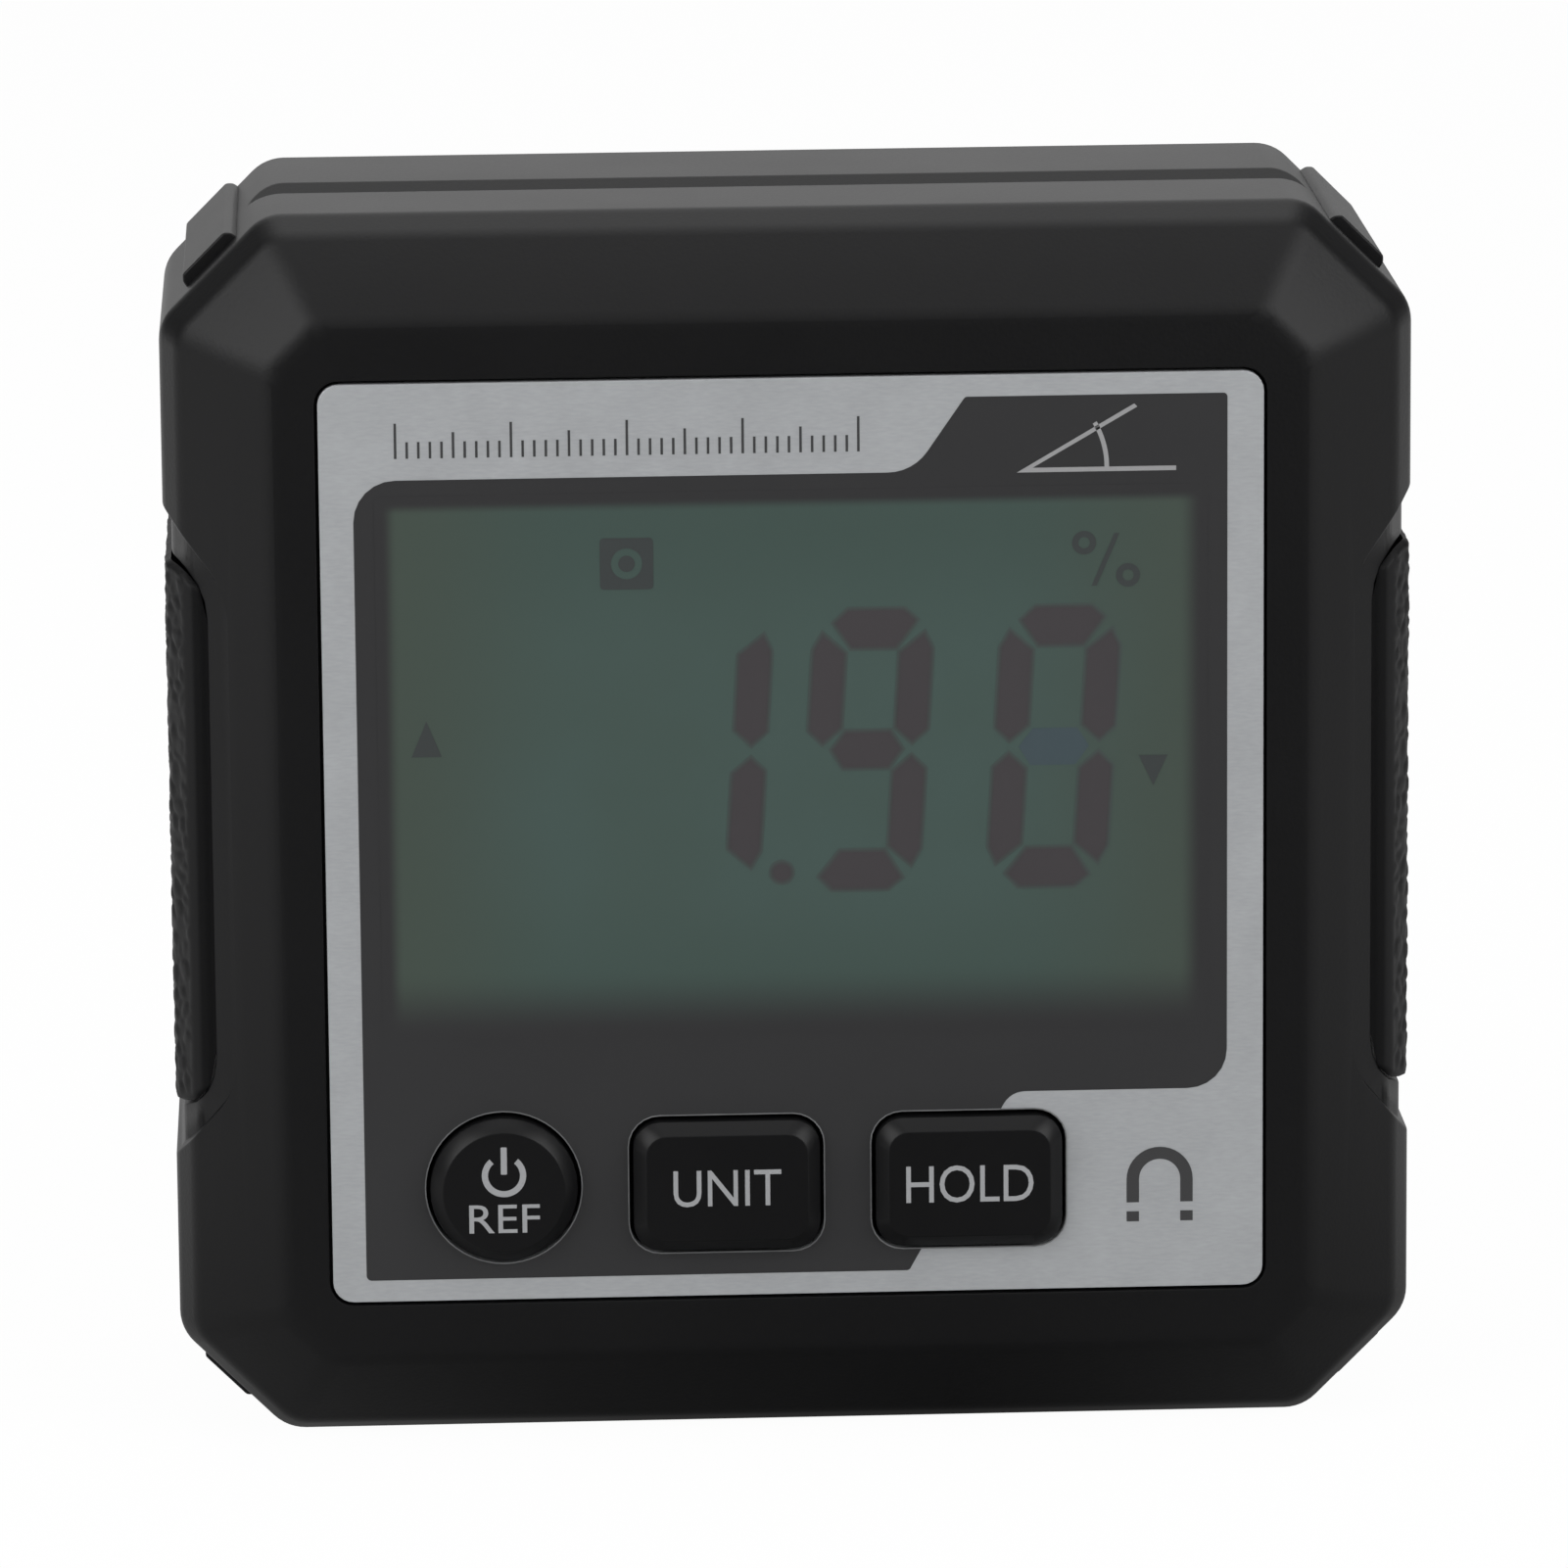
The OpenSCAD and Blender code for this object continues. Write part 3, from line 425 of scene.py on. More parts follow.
def dressed(node_name, piece_name, edge_mm):
    """Copy of a CAD node with softened edges and smooth round stretches; it stands for that node."""
    node = nodes[node_name]
    form = bmesh.new()
    form.from_mesh(node.data)
    form.transform(node.matrix_world)
    bmesh.ops.remove_doubles(form, verts=form.verts, dist=0.002 * MM)
    bmesh.ops.dissolve_limit(form, angle_limit=math.radians(0.5), verts=form.verts,
                             edges=form.edges)
    form.normal_update()
    soften(form, edge_mm * MM)
    for face in form.faces:
        face.smooth = True
    mesh = bpy.data.meshes.new(piece_name)
    form.to_mesh(mesh)
    form.free()
    mesh.set_sharp_from_angle(angle=SHARP_EDGE)
    slot = node_slot[node_name]
    piece = add_piece(piece_name, mesh, MATERIALS[slot], node_body[node_name])
    even = piece.modifiers.new("flat faces stay flat", "WEIGHTED_NORMAL")
    even.keep_sharp = True
    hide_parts(node_name)
    return piece


def baked(thing):
    """Mesh of an object with its modifiers applied."""
    return bpy.data.meshes.new_from_object(thing.evaluated_get(bpy.context.evaluated_depsgraph_get()))


def cut_away(piece, mesh):
    """Cuts a closed mesh out of a piece and keeps the result as the piece's own mesh."""
    cutter = bpy.data.objects.new("cutter", mesh)
    scene.collection.objects.link(cutter)
    cut = piece.modifiers.new("cut", "BOOLEAN")
    cut.operation, cut.solver, cut.object = "DIFFERENCE", "EXACT", cutter
    result = baked(piece)
    piece.modifiers.remove(cut)
    piece.data = result
    bpy.data.objects.remove(cutter)


def curve_mesh(name, curve):
    """Closed mesh of a filled curve or a word."""
    shape = bpy.data.objects.new(name, curve)
    scene.collection.objects.link(shape)
    mesh = baked(shape)
    bpy.data.objects.remove(shape)
    form = bmesh.new()
    form.from_mesh(mesh)
    bmesh.ops.remove_doubles(form, verts=form.verts, dist=0.001)
    form.to_mesh(mesh)
    form.free()
    return mesh


def outline_mesh(name, outlines, height):
    """Flat prism in millimetres from closed outlines; an outline inside another is a hole."""
    curve = bpy.data.curves.new(name, "CURVE")
    curve.dimensions = "2D"
    curve.fill_mode = "BOTH"
    curve.extrude = height / 2
    for points in outlines:
        spline = curve.splines.new("POLY")
        spline.points.add(len(points) - 1)
        for point, (x, y) in zip(spline.points, points):
            point.co = (x, y, 0, 1)
        spline.use_cyclic_u = True
    return curve_mesh(name, curve)


def stand_up(mesh, x, z, front_y):
    """Turns a flat mesh in millimetres to the front, its face at front_y; x, z and front_y in metres."""
    depth = max(vert.co.z for vert in mesh.vertices) * MM
    upright = Matrix.Rotation(math.radians(90), 4, "X")
    mesh.transform(Matrix.Translation((x, front_y + depth, z)) @ upright @ Matrix.Scale(MM, 4))


def arc(centre, radius, start, end, steps=12):
    """Points of an arc, angles in degrees."""
    turns = [math.radians(start + (end - start) * i / steps) for i in range(steps + 1)]
    return [(centre[0] + radius * math.cos(a), centre[1] + radius * math.sin(a)) for a in turns]


def circle(centre, radius, steps=40):
    return arc(centre, radius, 0, 360 - 360 / steps, steps - 1)


def rounded(corners, steps=6):
    """Closed outline through corners of x, y and rounding."""
    points = []
    for index, (x, y, radius) in enumerate(corners):
        here = Vector((x, y))
        before = (Vector(corners[index - 1][:2]) - here).normalized()
        after = (Vector(corners[(index + 1) % len(corners)][:2]) - here).normalized()
        half = before.angle(after) / 2
        middle = here + (before + after).normalized() * (radius / math.sin(half))
        first = here + before * (radius / math.tan(half)) - middle
        turn = first.angle_signed(here + after * (radius / math.tan(half)) - middle)
        for step in range(steps + 1):
            a = math.atan2(first.y, first.x) - turn * step / steps
            points.append((middle.x + radius * math.cos(a), middle.y + radius * math.sin(a)))
    return points


def block(low_x, low_y, high_x, high_y, radius):
    return rounded([(low_x, low_y, radius), (high_x, low_y, radius), (high_x, high_y, radius),
                    (low_x, high_y, radius)])


# The printed face: places in millimetres from the panel's upper left corner, right and down

# Thickness of one printed layer
LAYER_T = 0.012
# Sizes of the keys, and of the gap round them in the panel
ROUND_KEY_R = 3.55
OBLONG_KEY = (9.0, 6.4)
OBLONG_ROUND = 1.3
KEY_GAP = 0.2
# Width of the pale cut edge round a key's hole
RIM_W = 0.06


def on_panel(points):
    """Points from the panel's corner, turned to right and up."""
    return [(x, -y) for x, y in points]


def printed(name, outlines, layer, material):
    """One printed layer on the face panel."""
    sunk = 0.5
    mesh = outline_mesh(name, [on_panel(points) for points in outlines], LAYER_T * (layer + sunk))
    stand_up(mesh, PANEL_LOW.x, PANEL_HIGH.z, PANEL_LOW.y - LAYER_T * layer * MM)
    return add_piece(name, mesh, material, "case")


def key_places():
    """Middle of each key in the panel's millimetres."""
    places = {}
    for name in ("ref_key", "unit_key", "hold_key"):
        low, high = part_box(name)
        right = (low.x + high.x) / 2 - PANEL_LOW.x
        down = PANEL_HIGH.z - (low.z + high.z) / 2
        places[name] = (right / MM, down / MM)
    return places


KEY_AT = key_places()


def key_hole(name, grow):
    """Outline of a key's hole in the panel, grown by some millimetres."""
    x, y = KEY_AT[name]
    if name == "ref_key":
        return circle((x, y), ROUND_KEY_R + KEY_GAP + grow, 56)
    half_w = OBLONG_KEY[0] / 2 + KEY_GAP + grow
    half_h = OBLONG_KEY[1] / 2 + KEY_GAP + grow
    return block(x - half_w, y - half_h, x + half_w, y + half_h, OBLONG_ROUND + KEY_GAP + grow)


def cut_holes(piece, names):
    """Cuts key holes out of a printed layer."""
    through = 1.0
    for name in names:
        mesh = outline_mesh("key_hole", [on_panel(key_hole(name, 0.0))], through)
        stand_up(mesh, PANEL_LOW.x, PANEL_HIGH.z, PANEL_LOW.y - through / 2 * MM)
        cut_away(piece, mesh)


def dark_field():
    """The dark print, with the tab at its upper right; its corners have x, y and rounding."""
    left, right, top, tab_top, bottom = 1.62, 43.25, 4.65, 1.05, 43.92
    corners = [(left, bottom, 0.25), (left, top, 2.0), (28.25, top, 2.3), (30.75, tab_top, 0.2),
               (right, tab_top, 0.2), (right, 35.1, 1.9), (32.8, 35.1, 1.2), (27.85, bottom, 0.2)]
    field = printed("dark_field", [rounded(corners)], 1, dark_print())
    cut_holes(field, KEY_AT)


def hole_edges():
    """Pale cut edge of the print round each key."""
    pale = cut_edge()
    for name in KEY_AT:
        printed(name + "_rim", [key_hole(name, RIM_W), key_hole(name, 0.0)], 2, pale)


# The display

# Lean of the digits, the height of their middles, and the middle of each and of the point
DIGIT_LEAN = 0.063
DIGIT_MIDDLE = 18.1
ONE_X, NINE_X, NOUGHT_X = 18.28, 25.97, 34.93
POINT_AT, POINT_R = (21.85, 24.05), 0.55
ONE = ("upper_right", "lower_right")
NOUGHT = ("top", "upper_right", "lower_right", "bottom", "lower_left", "upper_left")
NINE = ("top", "upper_right", "lower_right", "bottom", "upper_left", "middle")


def segment(kind):
    """Outline of one segment of a digit, right and up from the digit's middle."""
    upright = [(1.25, 1.05), (2.15, 0.25), (2.9, 0.95), (2.9, 4.9), (2.45, 5.75), (1.25, 4.75)]
    level = [(-2.0, 6.2), (-1.3, 6.9), (1.4, 6.9), (2.1, 6.3), (1.15, 4.9), (-1.05, 4.9)]
    shapes = {
        "upper_right": upright,
        "upper_left": [(-x, y) for x, y in upright],
        "lower_right": [(x, -y) for x, y in upright],
        "lower_left": [(-x, -y) for x, y in upright],
        "top": level,
        "bottom": [(x, -y) for x, y in level],
        "middle": [(-1.75, 0), (-1.1, 0.95), (1.1, 0.95), (1.75, 0), (1.1, -0.95), (-1.1, -0.95)],
    }
    return shapes[kind]


def grown(points, distance):
    """Convex outline moved outwards by a distance."""
    corners = [Vector(point) for point in points]
    middle = sum(corners, Vector((0, 0))) / len(corners)
    moved = []
    for index, corner in enumerate(corners):
        before = (corner - corners[index - 1]).normalized()
        after = (corners[(index + 1) % len(corners)] - corner).normalized()
        first, second = (Vector((way.y, -way.x)) for way in (before, after))
        if first.dot(corner - middle) < 0:
            first, second = -first, -second
        moved.append(tuple(corner + (first + second) * (distance / (1 + first.dot(second)))))
    return moved


def digit(middle, kinds, grow):
    """Outlines of a slanted segment digit on the display."""
    return [[(middle + x + DIGIT_LEAN * y, DIGIT_MIDDLE - y)
             for x, y in grown(segment(kind), grow)] for kind in kinds]


def number(name, grow, layer, colour):
    """The shown number; several sizes on top of each other give its segments soft edges."""
    outlines = digit(ONE_X, ONE, grow) + digit(NINE_X, NINE, grow) + digit(NOUGHT_X, NOUGHT, grow)
    outlines.append(circle(POINT_AT, POINT_R + grow, 24))
    printed(name, outlines, layer, display_ink(name, colour))


def display():
    printed("display_field", [block(2.6, 5.4, 42.3, 32.0, 0.3)], 2, display_field())
    number("number_blur", 0.08, 3, (60, 68, 66))
    number("number_edge", -0.03, 4, (59, 61, 61))
    number("number_core", -0.13, 5, (59, 56, 58))
    ghost = display_ink("ghost_ink", (58, 70, 75))
    printed("ghost_segment", digit(NOUGHT_X, ["middle"], -0.05), 3, ghost)
    ink = display_ink("sign_ink", (53, 57, 57))
    per_cent = []
    for centre in ((36.4, 8.2), (38.5, 9.8)):
        per_cent += [circle(centre, 0.58, 24), circle(centre, 0.27, 20)]
    printed("per_cent_rings", per_cent, 3, ink)
    stroke = [(36.75, 10.3), (37.0, 10.3), (38.1, 7.75), (37.85, 7.75)]
    printed("per_cent_stroke", [stroke], 3, ink)
    box_middle = (14.575, 8.85)
    printed("unit_box", [block(13.3, 7.6, 15.85, 10.1, 0.2), circle(box_middle, 0.75, 24),
                         circle(box_middle, 0.4, 20)], 3, ink)
    printed("up_arrow", [[(4.2, 18.1), (5.65, 18.1), (4.93, 16.35)]], 3, ink)
    printed("down_arrow", [[(39.0, 18.6), (40.4, 18.6), (39.7, 20.1)]], 3, ink)


def face_marks():
    """Plain marks: a magnet by the keys, an angle in the tab and a scale above the display."""
    grey, pale = grey_print(), tab_print()
    magnet_sign(grey)
    angle_sign(pale)
    tick_scale(grey)


def magnet_sign(ink):
    middle, outer, inner, leg_end = (40.0, 39.6), 1.6, 1.0, 40.75
    left, right, width = 38.4, 41.6, 0.6
    bow = arc(middle, outer, 180, 360, 20) + [(right, leg_end), (right - width, leg_end)]
    bow += arc(middle, inner, 360, 180, 20) + [(left + width, leg_end), (left, leg_end)]
    tips = [[(x, 41.2), (x + width, 41.2), (x + width, 41.7), (x, 41.7)]
            for x in (left, right - width)]
    printed("magnet_sign", [bow] + tips, 1, ink)


def angle_sign(ink):
    (x, y), reach, stroke, radius = (33.2, 4.75), 7.6, 0.22, 4.4
    sign = [(x, y), (x + reach, y), (x + reach, y - stroke), (x + 0.75, y - stroke)]
    sign += [(x + 5.75, y - 3.1), (x + 5.6, y - 3.25)]
    printed("angle_sign", [sign], 2, ink)
    foot = (x, y - stroke)
    sweep = arc(foot, radius, 0, -30, 12) + arc(foot, radius - stroke, -30, 0, 12)
    printed("angle_sweep", [sweep], 2, ink)


def tick_scale(ink):
    start, foot, pitch, width = 3.6, 3.6, 0.55, 0.12
    ticks = []
    for index in range(41):
        x = start + pitch * index
        top = foot - (1.7 if index % 10 == 0 else 1.25 if index % 5 == 0 else 0.8)
        ticks.append([(x, foot), (x + width, foot), (x + width, top), (x, top)])
    printed("tick_scale", ticks, 1, ink)


# Keys

PALE = pale_print()
# Thickness of the keys' print, and the power sign's place above the middle of its key
KEY_PRINT_T = 0.02
POWER_UP = 0.85


def key_word(name, text, key, body, width, height, down=0.0):
    """A word on a key's face, to a width and a capital height in millimetres."""
    curve = bpy.data.curves.new(name, "FONT")
    curve.body = text
    curve.size = 10
    curve.extrude = KEY_PRINT_T / 2
    curve.resolution_u = 4
    mesh = curve_mesh(name, curve)
    xs, ys = [v.co.x for v in mesh.vertices], [v.co.y for v in mesh.vertices]
    mesh.transform(Matrix.Translation((-(max(xs) + min(xs)) / 2, -(max(ys) + min(ys)) / 2, 0)))
    stretch = width / (max(xs) - min(xs)), height / (max(ys) - min(ys))
    mesh.transform(Matrix.Diagonal((*stretch, 1, 1)))
    key_mark(name, mesh, key, body, -down)


def key_mark(name, mesh, key, body, up):
    """Puts a flat mesh on a key's face, some millimetres above its middle."""
    low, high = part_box(key)
    stand_up(mesh, (low.x + high.x) / 2, (low.z + high.z) / 2 + up * MM, low.y)
    add_piece(name, mesh, PALE, body)


def key_cap(node_name, piece_name):
    """A key whose face is set back by one layer, so that its print ends flush with the CAD solid."""
    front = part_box(node_name)[0].y
    for vert in dressed(node_name, piece_name, 0.05).data.vertices:
        vert.co.y = max(vert.co.y, front + LAYER_T * MM)


def keys():
    key_cap("ref_key", "round_key")
    key_cap("unit_key", "middle_key")
    key_cap("hold_key", "right_key")
    key_word("unit_word", "UNIT", "unit_key", "unit_button", 5.2, 1.8)
    key_word("hold_word", "HOLD", "hold_key", "hold_button", 6.15, 1.85)
    key_word("ref_word", "REF", "ref_key", "ref_button", 3.4, 1.4, down=1.3)
    ring = arc((0, 0), 1.07, 130, 410, 32) + arc((0, 0), 0.77, 410, 130, 32)
    bar = block(-0.15, 0.05, 0.15, 1.4, 0.05)
    for name, outline in (("power_ring", ring), ("power_bar", bar)):
        mesh = outline_mesh(name, [outline], KEY_PRINT_T)
        key_mark(name, mesh, "ref_key", "ref_button", POWER_UP)


# Rubber grips

# In millimetres: the recess's floor from the case's middle, the grip's rear from the front flat,
# the rounding of its ends and half its height inside that rounding
GRIP_FLOOR = 27.95
GRIP_REAR = 18.0
GRIP_ROUND = 2.8
GRIP_FLAT_HALF = 10.652
# Corners of its outer line, as distance from the middle and depth: front edge, edge band and rear
GRIP_LINE = ((28.5, 2.4), (29.165, 2.849), (30.0, 4.4), (30.0, GRIP_REAR))
GRIP_SOFT = 0.4
# Depth of the groove in front of a grip
GRIP_FOOT = 2.5
# Rounding of its border, and the width of the smooth strip along its front edge
GRIP_BORDER = 0.35
GRIP_SMOOTH = 0.7
# Size and height of the pebbles of its leather grain
PEBBLE = 0.8
PEBBLE_H = 0.08
# Distance between the points along its outer line, and the number of columns up its height
GRIP_STEP = 0.13
GRIP_COLUMNS = 200


def grip_profile(spacing):
    """Even points along the grip's outer line, with its inner corners softened."""
    corners = [Vector(corner) for corner in GRIP_LINE]
    dense = [corners[0]]
    for before, at, after in zip(corners, corners[1:], corners[2:]):
        first = at + (before - at).normalized() * GRIP_SOFT
        last = at + (after - at).normalized() * GRIP_SOFT
        shares = [step / 8 for step in range(9)]
        dense += [first.lerp(at, share).lerp(at.lerp(last, share), share) for share in shares]
    dense.append(corners[-1])
    lengths = [(b - a).length for a, b in zip(dense, dense[1:])]
    count = round(sum(lengths) / spacing)
    line, index, passed = [], 0, 0.0
    for step in range(count + 1):
        wanted = sum(lengths) * step / count
        while index < len(lengths) - 1 and passed + lengths[index] < wanted:
            passed += lengths[index]
            index += 1
        line.append(dense[index].lerp(dense[index + 1], min((wanted - passed) / lengths[index], 1.0)))
    return line


def grip_half(x, t):
    """Half height of a grip where it is x from the middle and t deep."""
    rise = min(x - GRIP_FLOOR, GRIP_REAR - t, GRIP_ROUND)
    return GRIP_FLAT_HALF + math.sqrt(max(GRIP_ROUND ** 2 - (GRIP_ROUND - rise) ** 2, 0.0))


def pebbles(along, up):
    """Relief of fine leather, 0 in its creases to 1."""
    near = noise.voronoi(Vector((along, up, 0.0)) / PEBBLE)[0]
    rise = min((near[1] - near[0]) * 1.8, 1.0)
    return rise * rise * (3 - 2 * rise)


def grip_sink(travelled, whole, up, half):
    """How far the grip's skin lies below its outer line: pebbles, and the rounding of its border."""
    edge = min(travelled, whole - travelled, half - abs(up))
    behind_strip = max(travelled - GRIP_SMOOTH, 0.0)
    grained_share = min(edge / GRIP_BORDER, behind_strip / GRIP_BORDER, 1.0)
    sink = PEBBLE_H * (1 - pebbles(travelled, up)) * grained_share
    if edge < GRIP_BORDER:
        sink += GRIP_BORDER - math.sqrt(GRIP_BORDER ** 2 - (GRIP_BORDER - edge) ** 2)
    return sink


def grip_rows(form, side):
    """Adds the points of the grip's skin, a row of them for each point of its outer line."""
    line = grip_profile(GRIP_STEP)
    travelled = [0.0]
    for (xa, ta), (xb, tb) in zip(line, line[1:]):
        travelled.append(travelled[-1] + math.hypot(xb - xa, tb - ta))
    rows = []
    for index, (x, t) in enumerate(line):
        before, after = line[max(index - 1, 0)], line[min(index + 1, len(line) - 1)]
        run = Vector((after[0] - before[0], after[1] - before[1])).normalized()
        out = Vector((run.y, -run.x))
        half = grip_half(x, t)
        row = []
        for column in range(GRIP_COLUMNS + 1):
            share = 2 * column / GRIP_COLUMNS - 1
            up = share * half
            sink = grip_sink(travelled[index], travelled[-1], up, half)
            row.append(form.verts.new((side * (x - out.x * sink) * MM,
                                       FRONT_Y + (t - out.y * sink) * MM, MIDDLE_Z + up * MM)))
        rows.append(row)
    return rows


def grip(name, node_name, side):
    """Leather-grained rubber grip in the shape of its node, with a rounded border."""
    form = bmesh.new()
    rows = grip_rows(form, side)
    for low, high in zip(rows, rows[1:]):
        for column in range(GRIP_COLUMNS):
            form.faces.new((low[column], low[column + 1], high[column + 1], high[column]))
    rim = rows[0] + [row[-1] for row in rows[1:]]
    rim += rows[-1][-2::-1] + [row[0] for row in rows[-2:0:-1]]
    low, high = MIDDLE_Z - GRIP_FLAT_HALF * MM, MIDDLE_Z + GRIP_FLAT_HALF * MM
    foot = FRONT_Y + GRIP_FOOT * MM
    floor = [form.verts.new((side * GRIP_FLOOR * MM, max(vert.co.y, foot),
                             max(min(vert.co.z, high), low))) for vert in rim]
    for index, vert in enumerate(rim):
        beside = (index + 1) % len(rim)
        form.faces.new((vert, floor[index], floor[beside], rim[beside]))
    form.faces.new(floor)
    bmesh.ops.remove_doubles(form, verts=form.verts, dist=0.0005 * MM)
    bmesh.ops.recalc_face_normals(form, faces=form.faces)
    for face in form.faces:
        face.smooth = True
    mesh = bpy.data.meshes.new(name)
    form.to_mesh(mesh)
    form.free()
    mesh.set_sharp_from_angle(angle=math.radians(50))
    piece = add_piece(name, mesh, MATERIALS["grip_rubber"], "case")
    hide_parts(node_name)


def finger_grooves(lid):
    """Three moulded grooves below the thumb notch of the battery lid."""
    half_l, half_w, rounding, depth = 6.5, 0.35, 0.33, 0.3
    first_down, pitch = 2.6, 1.6
    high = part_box("battery_door")[1]
    for index in range(3):
        outline = block(-half_l, -half_w, half_l, half_w, rounding)
        mesh = outline_mesh("groove", [outline], 2 * depth)
        stand_up(mesh, 0, high.z - (first_down + pitch * index) * MM, high.y - depth * MM)
        cut_away(lid, mesh)


def case_pieces():
    dressed("housing", "case_shell", 0.1)
    dressed("rear_cover", "back_cover", 0.1)
    finger_grooves(dressed("battery_door", "battery_lid", 0.1))
    dressed("face_panel", "face_plate", 0.06)
    dressed("cover_screws", "back_screws", 0.04)
    for end in ("front_left", "front_right", "rear_left", "rear_right"):
        dressed("magnet_" + end, "base_magnet_" + end, 0.15)


case_pieces()
dark_field()
hole_edges()
display()
face_marks()
keys()
grip("left_grip", "grip_left", -1)
grip("right_grip", "grip_right", 1)


# Camera: the photograph's angle, found by fitting the panel's corners and the case's edges

CAMERA_FOCAL_PX = 10332
IMAGE_PX = 1601
CAMERA_DISTANCE = 484.23 * MM
CAMERA_ELEVATION = math.radians(12.455)
CAMERA_AZIMUTH = math.radians(-2.484)
CAMERA_ROLL = math.radians(-0.489)
CAMERA_TARGET = Vector((-0.515 * MM, FRONT_Y, 32.777 * MM))


def add_camera():
    data = bpy.data.cameras.new("camera")
    data.sensor_fit = "HORIZONTAL"
    data.sensor_width = 36
    data.lens = data.sensor_width * CAMERA_FOCAL_PX / IMAGE_PX
    data.clip_start = 0.01
    data.clip_end = 20
    camera = bpy.data.objects.new("camera", data)
    scene.collection.objects.link(camera)
    level = math.cos(CAMERA_ELEVATION)
    back = Vector((math.sin(CAMERA_AZIMUTH) * level, -math.cos(CAMERA_AZIMUTH) * level,
                   math.sin(CAMERA_ELEVATION)))
    right = (-back).cross(Vector((0, 0, 1))).normalized()
    up = back.cross(right)
    turned_right = right * math.cos(CAMERA_ROLL) + up * math.sin(CAMERA_ROLL)
    turned_up = up * math.cos(CAMERA_ROLL) - right * math.sin(CAMERA_ROLL)
    place = Matrix((turned_right, turned_up, back)).transposed().to_4x4()
    place.translation = CAMERA_TARGET + back * CAMERA_DISTANCE
    camera.matrix_world = place
    scene.camera = camera


# Light, floor and background

# Places and sizes in metres, powers in watts
SIDE_BOX_X, SIDE_BOX_Y, SIDE_BOX_Z = 0.42, -0.34, 0.33
SIDE_BOX_SIZE, SIDE_BOX_POWER = 0.42, 2.3
TOP_BOX_AT = (0, 0.10, 0.70)
TOP_BOX_SIZE, TOP_BOX_POWER = 0.6, 1.25
# How bright the room is where it only lights, and how white the floor looks
ROOM_FILL = 0.3
FLOOR_WHITE = 0.97
# The room in mirror-like rays: its bright direction in y and z, and how it rises towards that
# direction and falls off to the sides, each as where from, where to and the brightness at both
ROOM_BRIGHT_Y, ROOM_BRIGHT_Z = 0.6, 0.8
ROOM_RISE = (-0.7, 0.6, 0.12, 0.93)
ROOM_SIDES = (0.15, 0.6, 1.0, 0.2)
# The floor's painted reflection, its glow in mirror-like rays: the x it is even about, how much faster
# it brightens sideways, and in the same way how it rises outwards, dims close to the part as painted
# shadow and dims far to the right
FLOOR_MIDDLE_X = 0.008
FLOOR_SIDEWAYS = 3.0
FLOOR_RISE = (-0.05, 0.3, 0.1, 1.0)
FLOOR_CONTACT_SHADE = (0.01, 0.035, 0.5, 1.0)
FLOOR_FAR_RIGHT = (0.1, 0.3, 1.0, 0.75)
FLOOR_HALF = 6.0
FLOOR_Z = -0.02 * MM


def soft_box(name, place, aim, size, power):
    """A square lamp that looks at a point."""
    data = bpy.data.lights.new(name, "AREA")
    data.shape = "RECTANGLE"
    data.size = data.size_y = size
    data.energy = power
    light = bpy.data.objects.new(name, data)
    light.location = place
    light.rotation_euler = (Vector(aim) - Vector(place)).to_track_quat("-Z", "Y").to_euler()
    scene.collection.objects.link(light)


def white_where_seen(s):
    """1 for rays from the camera or through clear material, and 1 for mirror-like rays."""
    path = s.add("ShaderNodeLightPath")
    seen = s.math("MAXIMUM", path.outputs["Is Camera Ray"], path.outputs["Is Transmission Ray"])
    return seen, path.outputs["Is Glossy Ray"]


def add_world():
    """White room; in reflections it is brightest behind and above, and dim in front and beside."""
    world = bpy.data.worlds.new("white_room")
    scene.world = world
    world.use_nodes = True
    s = Shader(world.node_tree)
    background = world.node_tree.nodes["Background"]
    seen, mirrored = white_where_seen(s)
    way = s.add("ShaderNodeSeparateXYZ", Vector=s.add("ShaderNodeTexCoord").outputs["Generated"])
    behind = s.math("MULTIPLY", way.outputs["Y"], ROOM_BRIGHT_Y)
    above = s.math("MULTIPLY", way.outputs["Z"], ROOM_BRIGHT_Z)
    beside = s.math("ABSOLUTE", way.outputs["X"])
    reflected = s.math("MULTIPLY", s.ramp(s.math("ADD", behind, above), *ROOM_RISE),
                       s.ramp(beside, *ROOM_SIDES, smooth=True))
    change = s.math("MULTIPLY", mirrored, s.math("SUBTRACT", reflected, ROOM_FILL))
    unseen = s.math("ADD", change, ROOM_FILL)
    s.set(background, "Color", (1, 1, 1, 1))
    s.set(background, "Strength", s.math("MAXIMUM", seen, unseen))


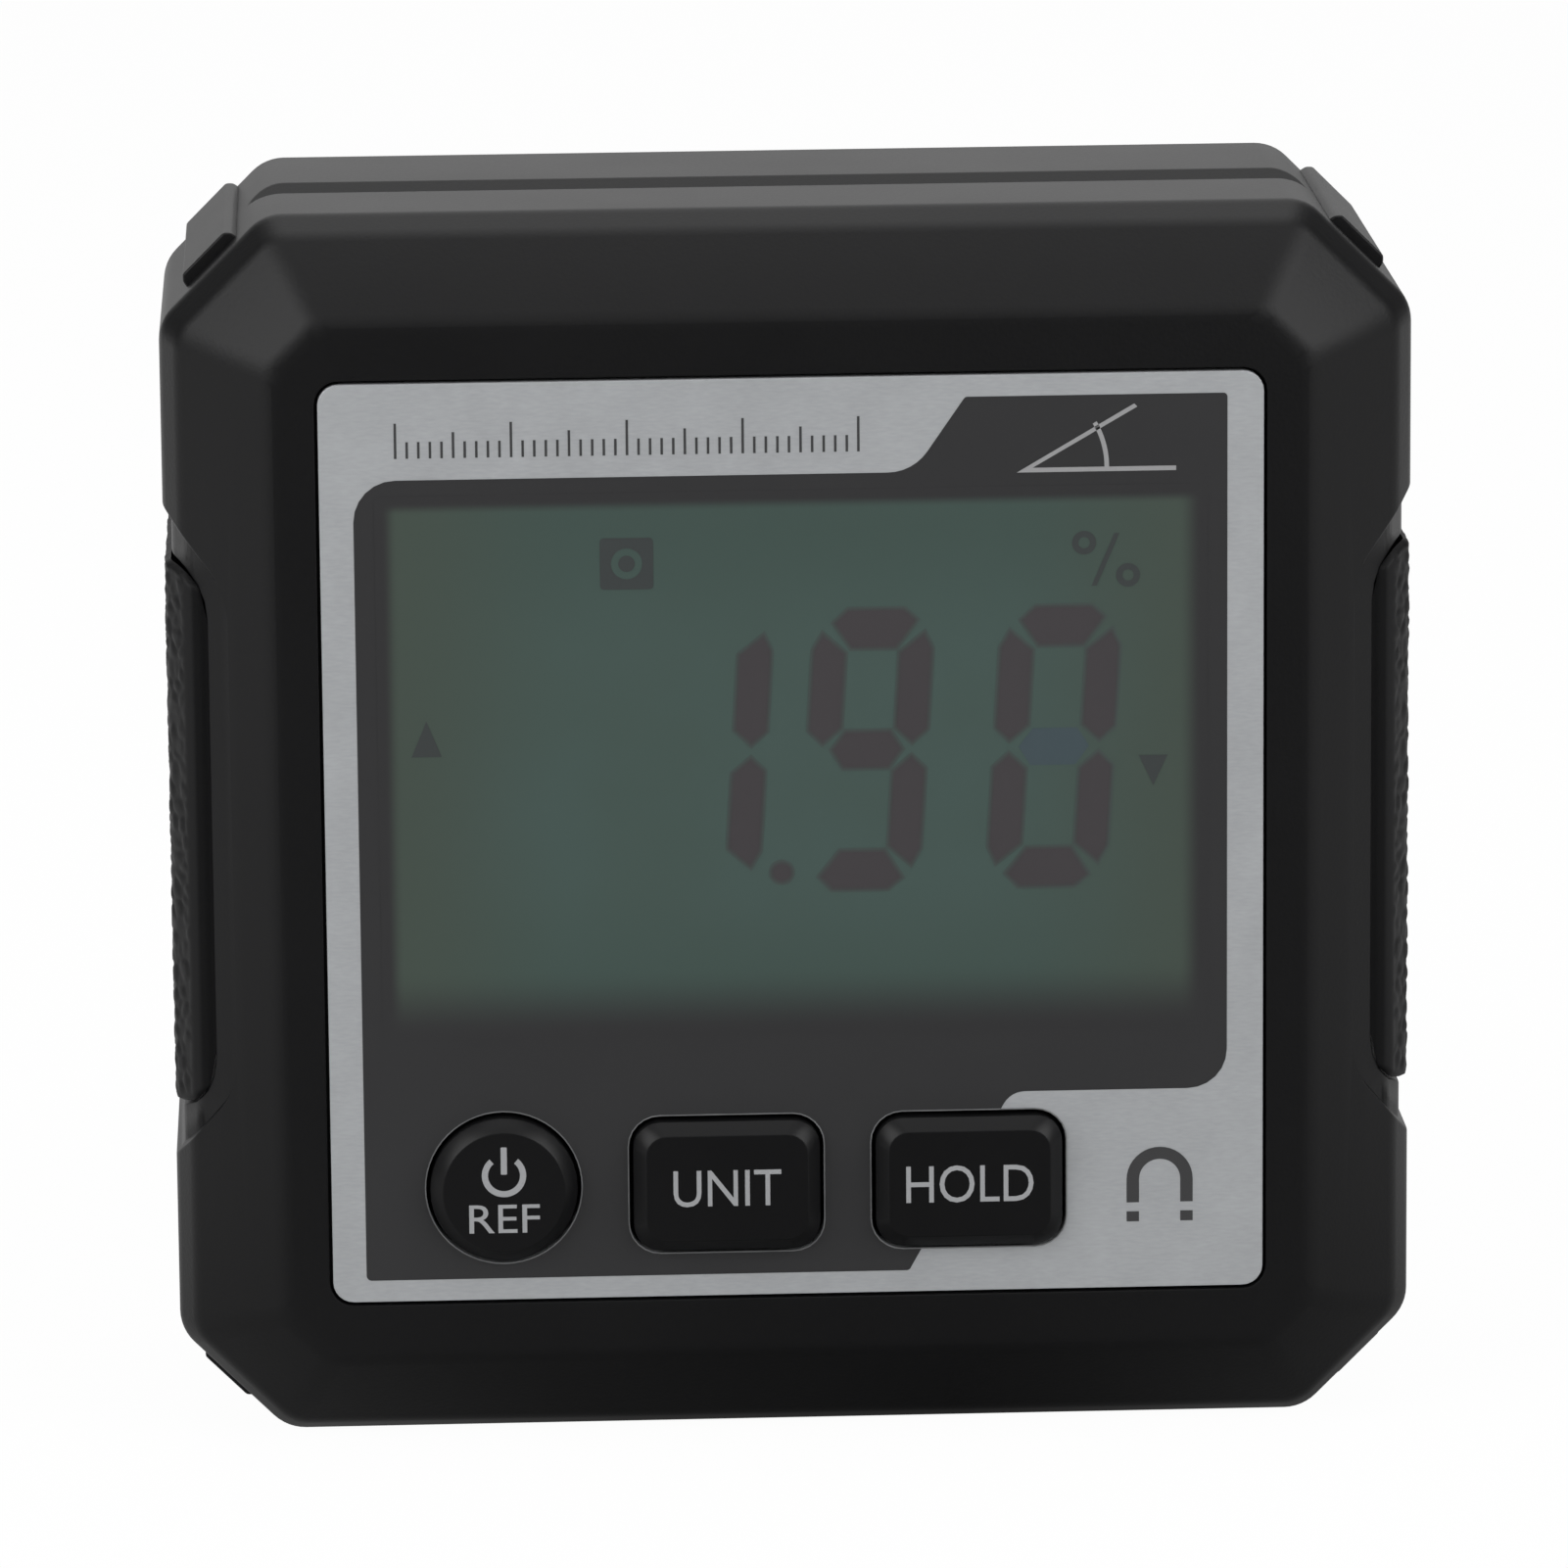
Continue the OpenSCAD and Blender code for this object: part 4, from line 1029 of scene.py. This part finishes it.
def add_floor():
    """Pale floor that keeps the shadow, clear from below; in mirror-like rays it glows as a painted
    reflection, dim in front and with painted shadow close to the part.
    """
    half, low = FLOOR_HALF, FLOOR_Z
    corners = [(-half, -half, low), (half, -half, low), (half, half, low), (-half, half, low)]
    mesh = bpy.data.meshes.new("floor")
    mesh.from_pydata(corners, [], [(0, 1, 2, 3)])
    floor = bpy.data.objects.new("floor", mesh)
    scene.collection.objects.link(floor)
    material, s, shader = new_material("pale_floor")
    shader.inputs["Base Color"].default_value = (0.9, 0.9, 0.9, 1)
    shader.inputs["Roughness"].default_value = 0.9
    seen, mirrored = white_where_seen(s)
    place = s.add("ShaderNodeTexCoord").outputs["Object"]
    axes = s.add("ShaderNodeSeparateXYZ", Vector=place)
    beside = s.math("ABSOLUTE", s.math("SUBTRACT", axes.outputs["X"], FLOOR_MIDDLE_X))
    outward = s.math("ADD", axes.outputs["Y"], s.math("MULTIPLY", beside, FLOOR_SIDEWAYS))
    away = s.add("ShaderNodeVectorMath", {"operation": "LENGTH"})
    s.set(away, "0", place)
    # painted shadow: the floor's glow in mirror-like rays dims close to the part, where the floor lies
    # in shade
    near = s.ramp(away.outputs["Value"], *FLOOR_CONTACT_SHADE, smooth=True)
    far_right = s.ramp(axes.outputs["X"], *FLOOR_FAR_RIGHT)
    # painted reflection: the floor glows in mirror-like rays, dim in front, close to the part and far to
    # the right
    reflected = s.math("MULTIPLY", s.ramp(outward, *FLOOR_RISE), s.math("MULTIPLY", near, far_right))
    strength = s.math("MAXIMUM", seen, reflected)
    white = s.add("ShaderNodeEmission", Color=(1, 1, 1, 1), Strength=strength)
    blend = s.add("ShaderNodeMixShader")
    s.set(blend, "0", s.math("MAXIMUM", s.math("MULTIPLY", seen, FLOOR_WHITE), mirrored))
    s.set(blend, "1", shader.outputs[0])
    s.set(blend, "2", white.outputs[0])
    one_sided = s.add("ShaderNodeMixShader")
    s.set(one_sided, "0", s.add("ShaderNodeNewGeometry").outputs["Backfacing"])
    s.set(one_sided, "1", blend.outputs[0])
    s.set(one_sided, "2", s.add("ShaderNodeBsdfTransparent").outputs[0])
    s.set(material.node_tree.nodes["Material Output"], "Surface", one_sided.outputs[0])
    mesh.materials.append(material)


def add_stage():
    middle = (0, 0, MIDDLE_Z)
    for name, side in (("left_box", -1), ("right_box", 1)):
        place = (side * SIDE_BOX_X, SIDE_BOX_Y, SIDE_BOX_Z)
        soft_box(name, place, middle, SIDE_BOX_SIZE, SIDE_BOX_POWER)
    soft_box("top_box", TOP_BOX_AT, middle, TOP_BOX_SIZE, TOP_BOX_POWER)
    add_world()
    add_floor()


add_camera()
add_stage()
scene.view_settings.view_transform = "Standard"
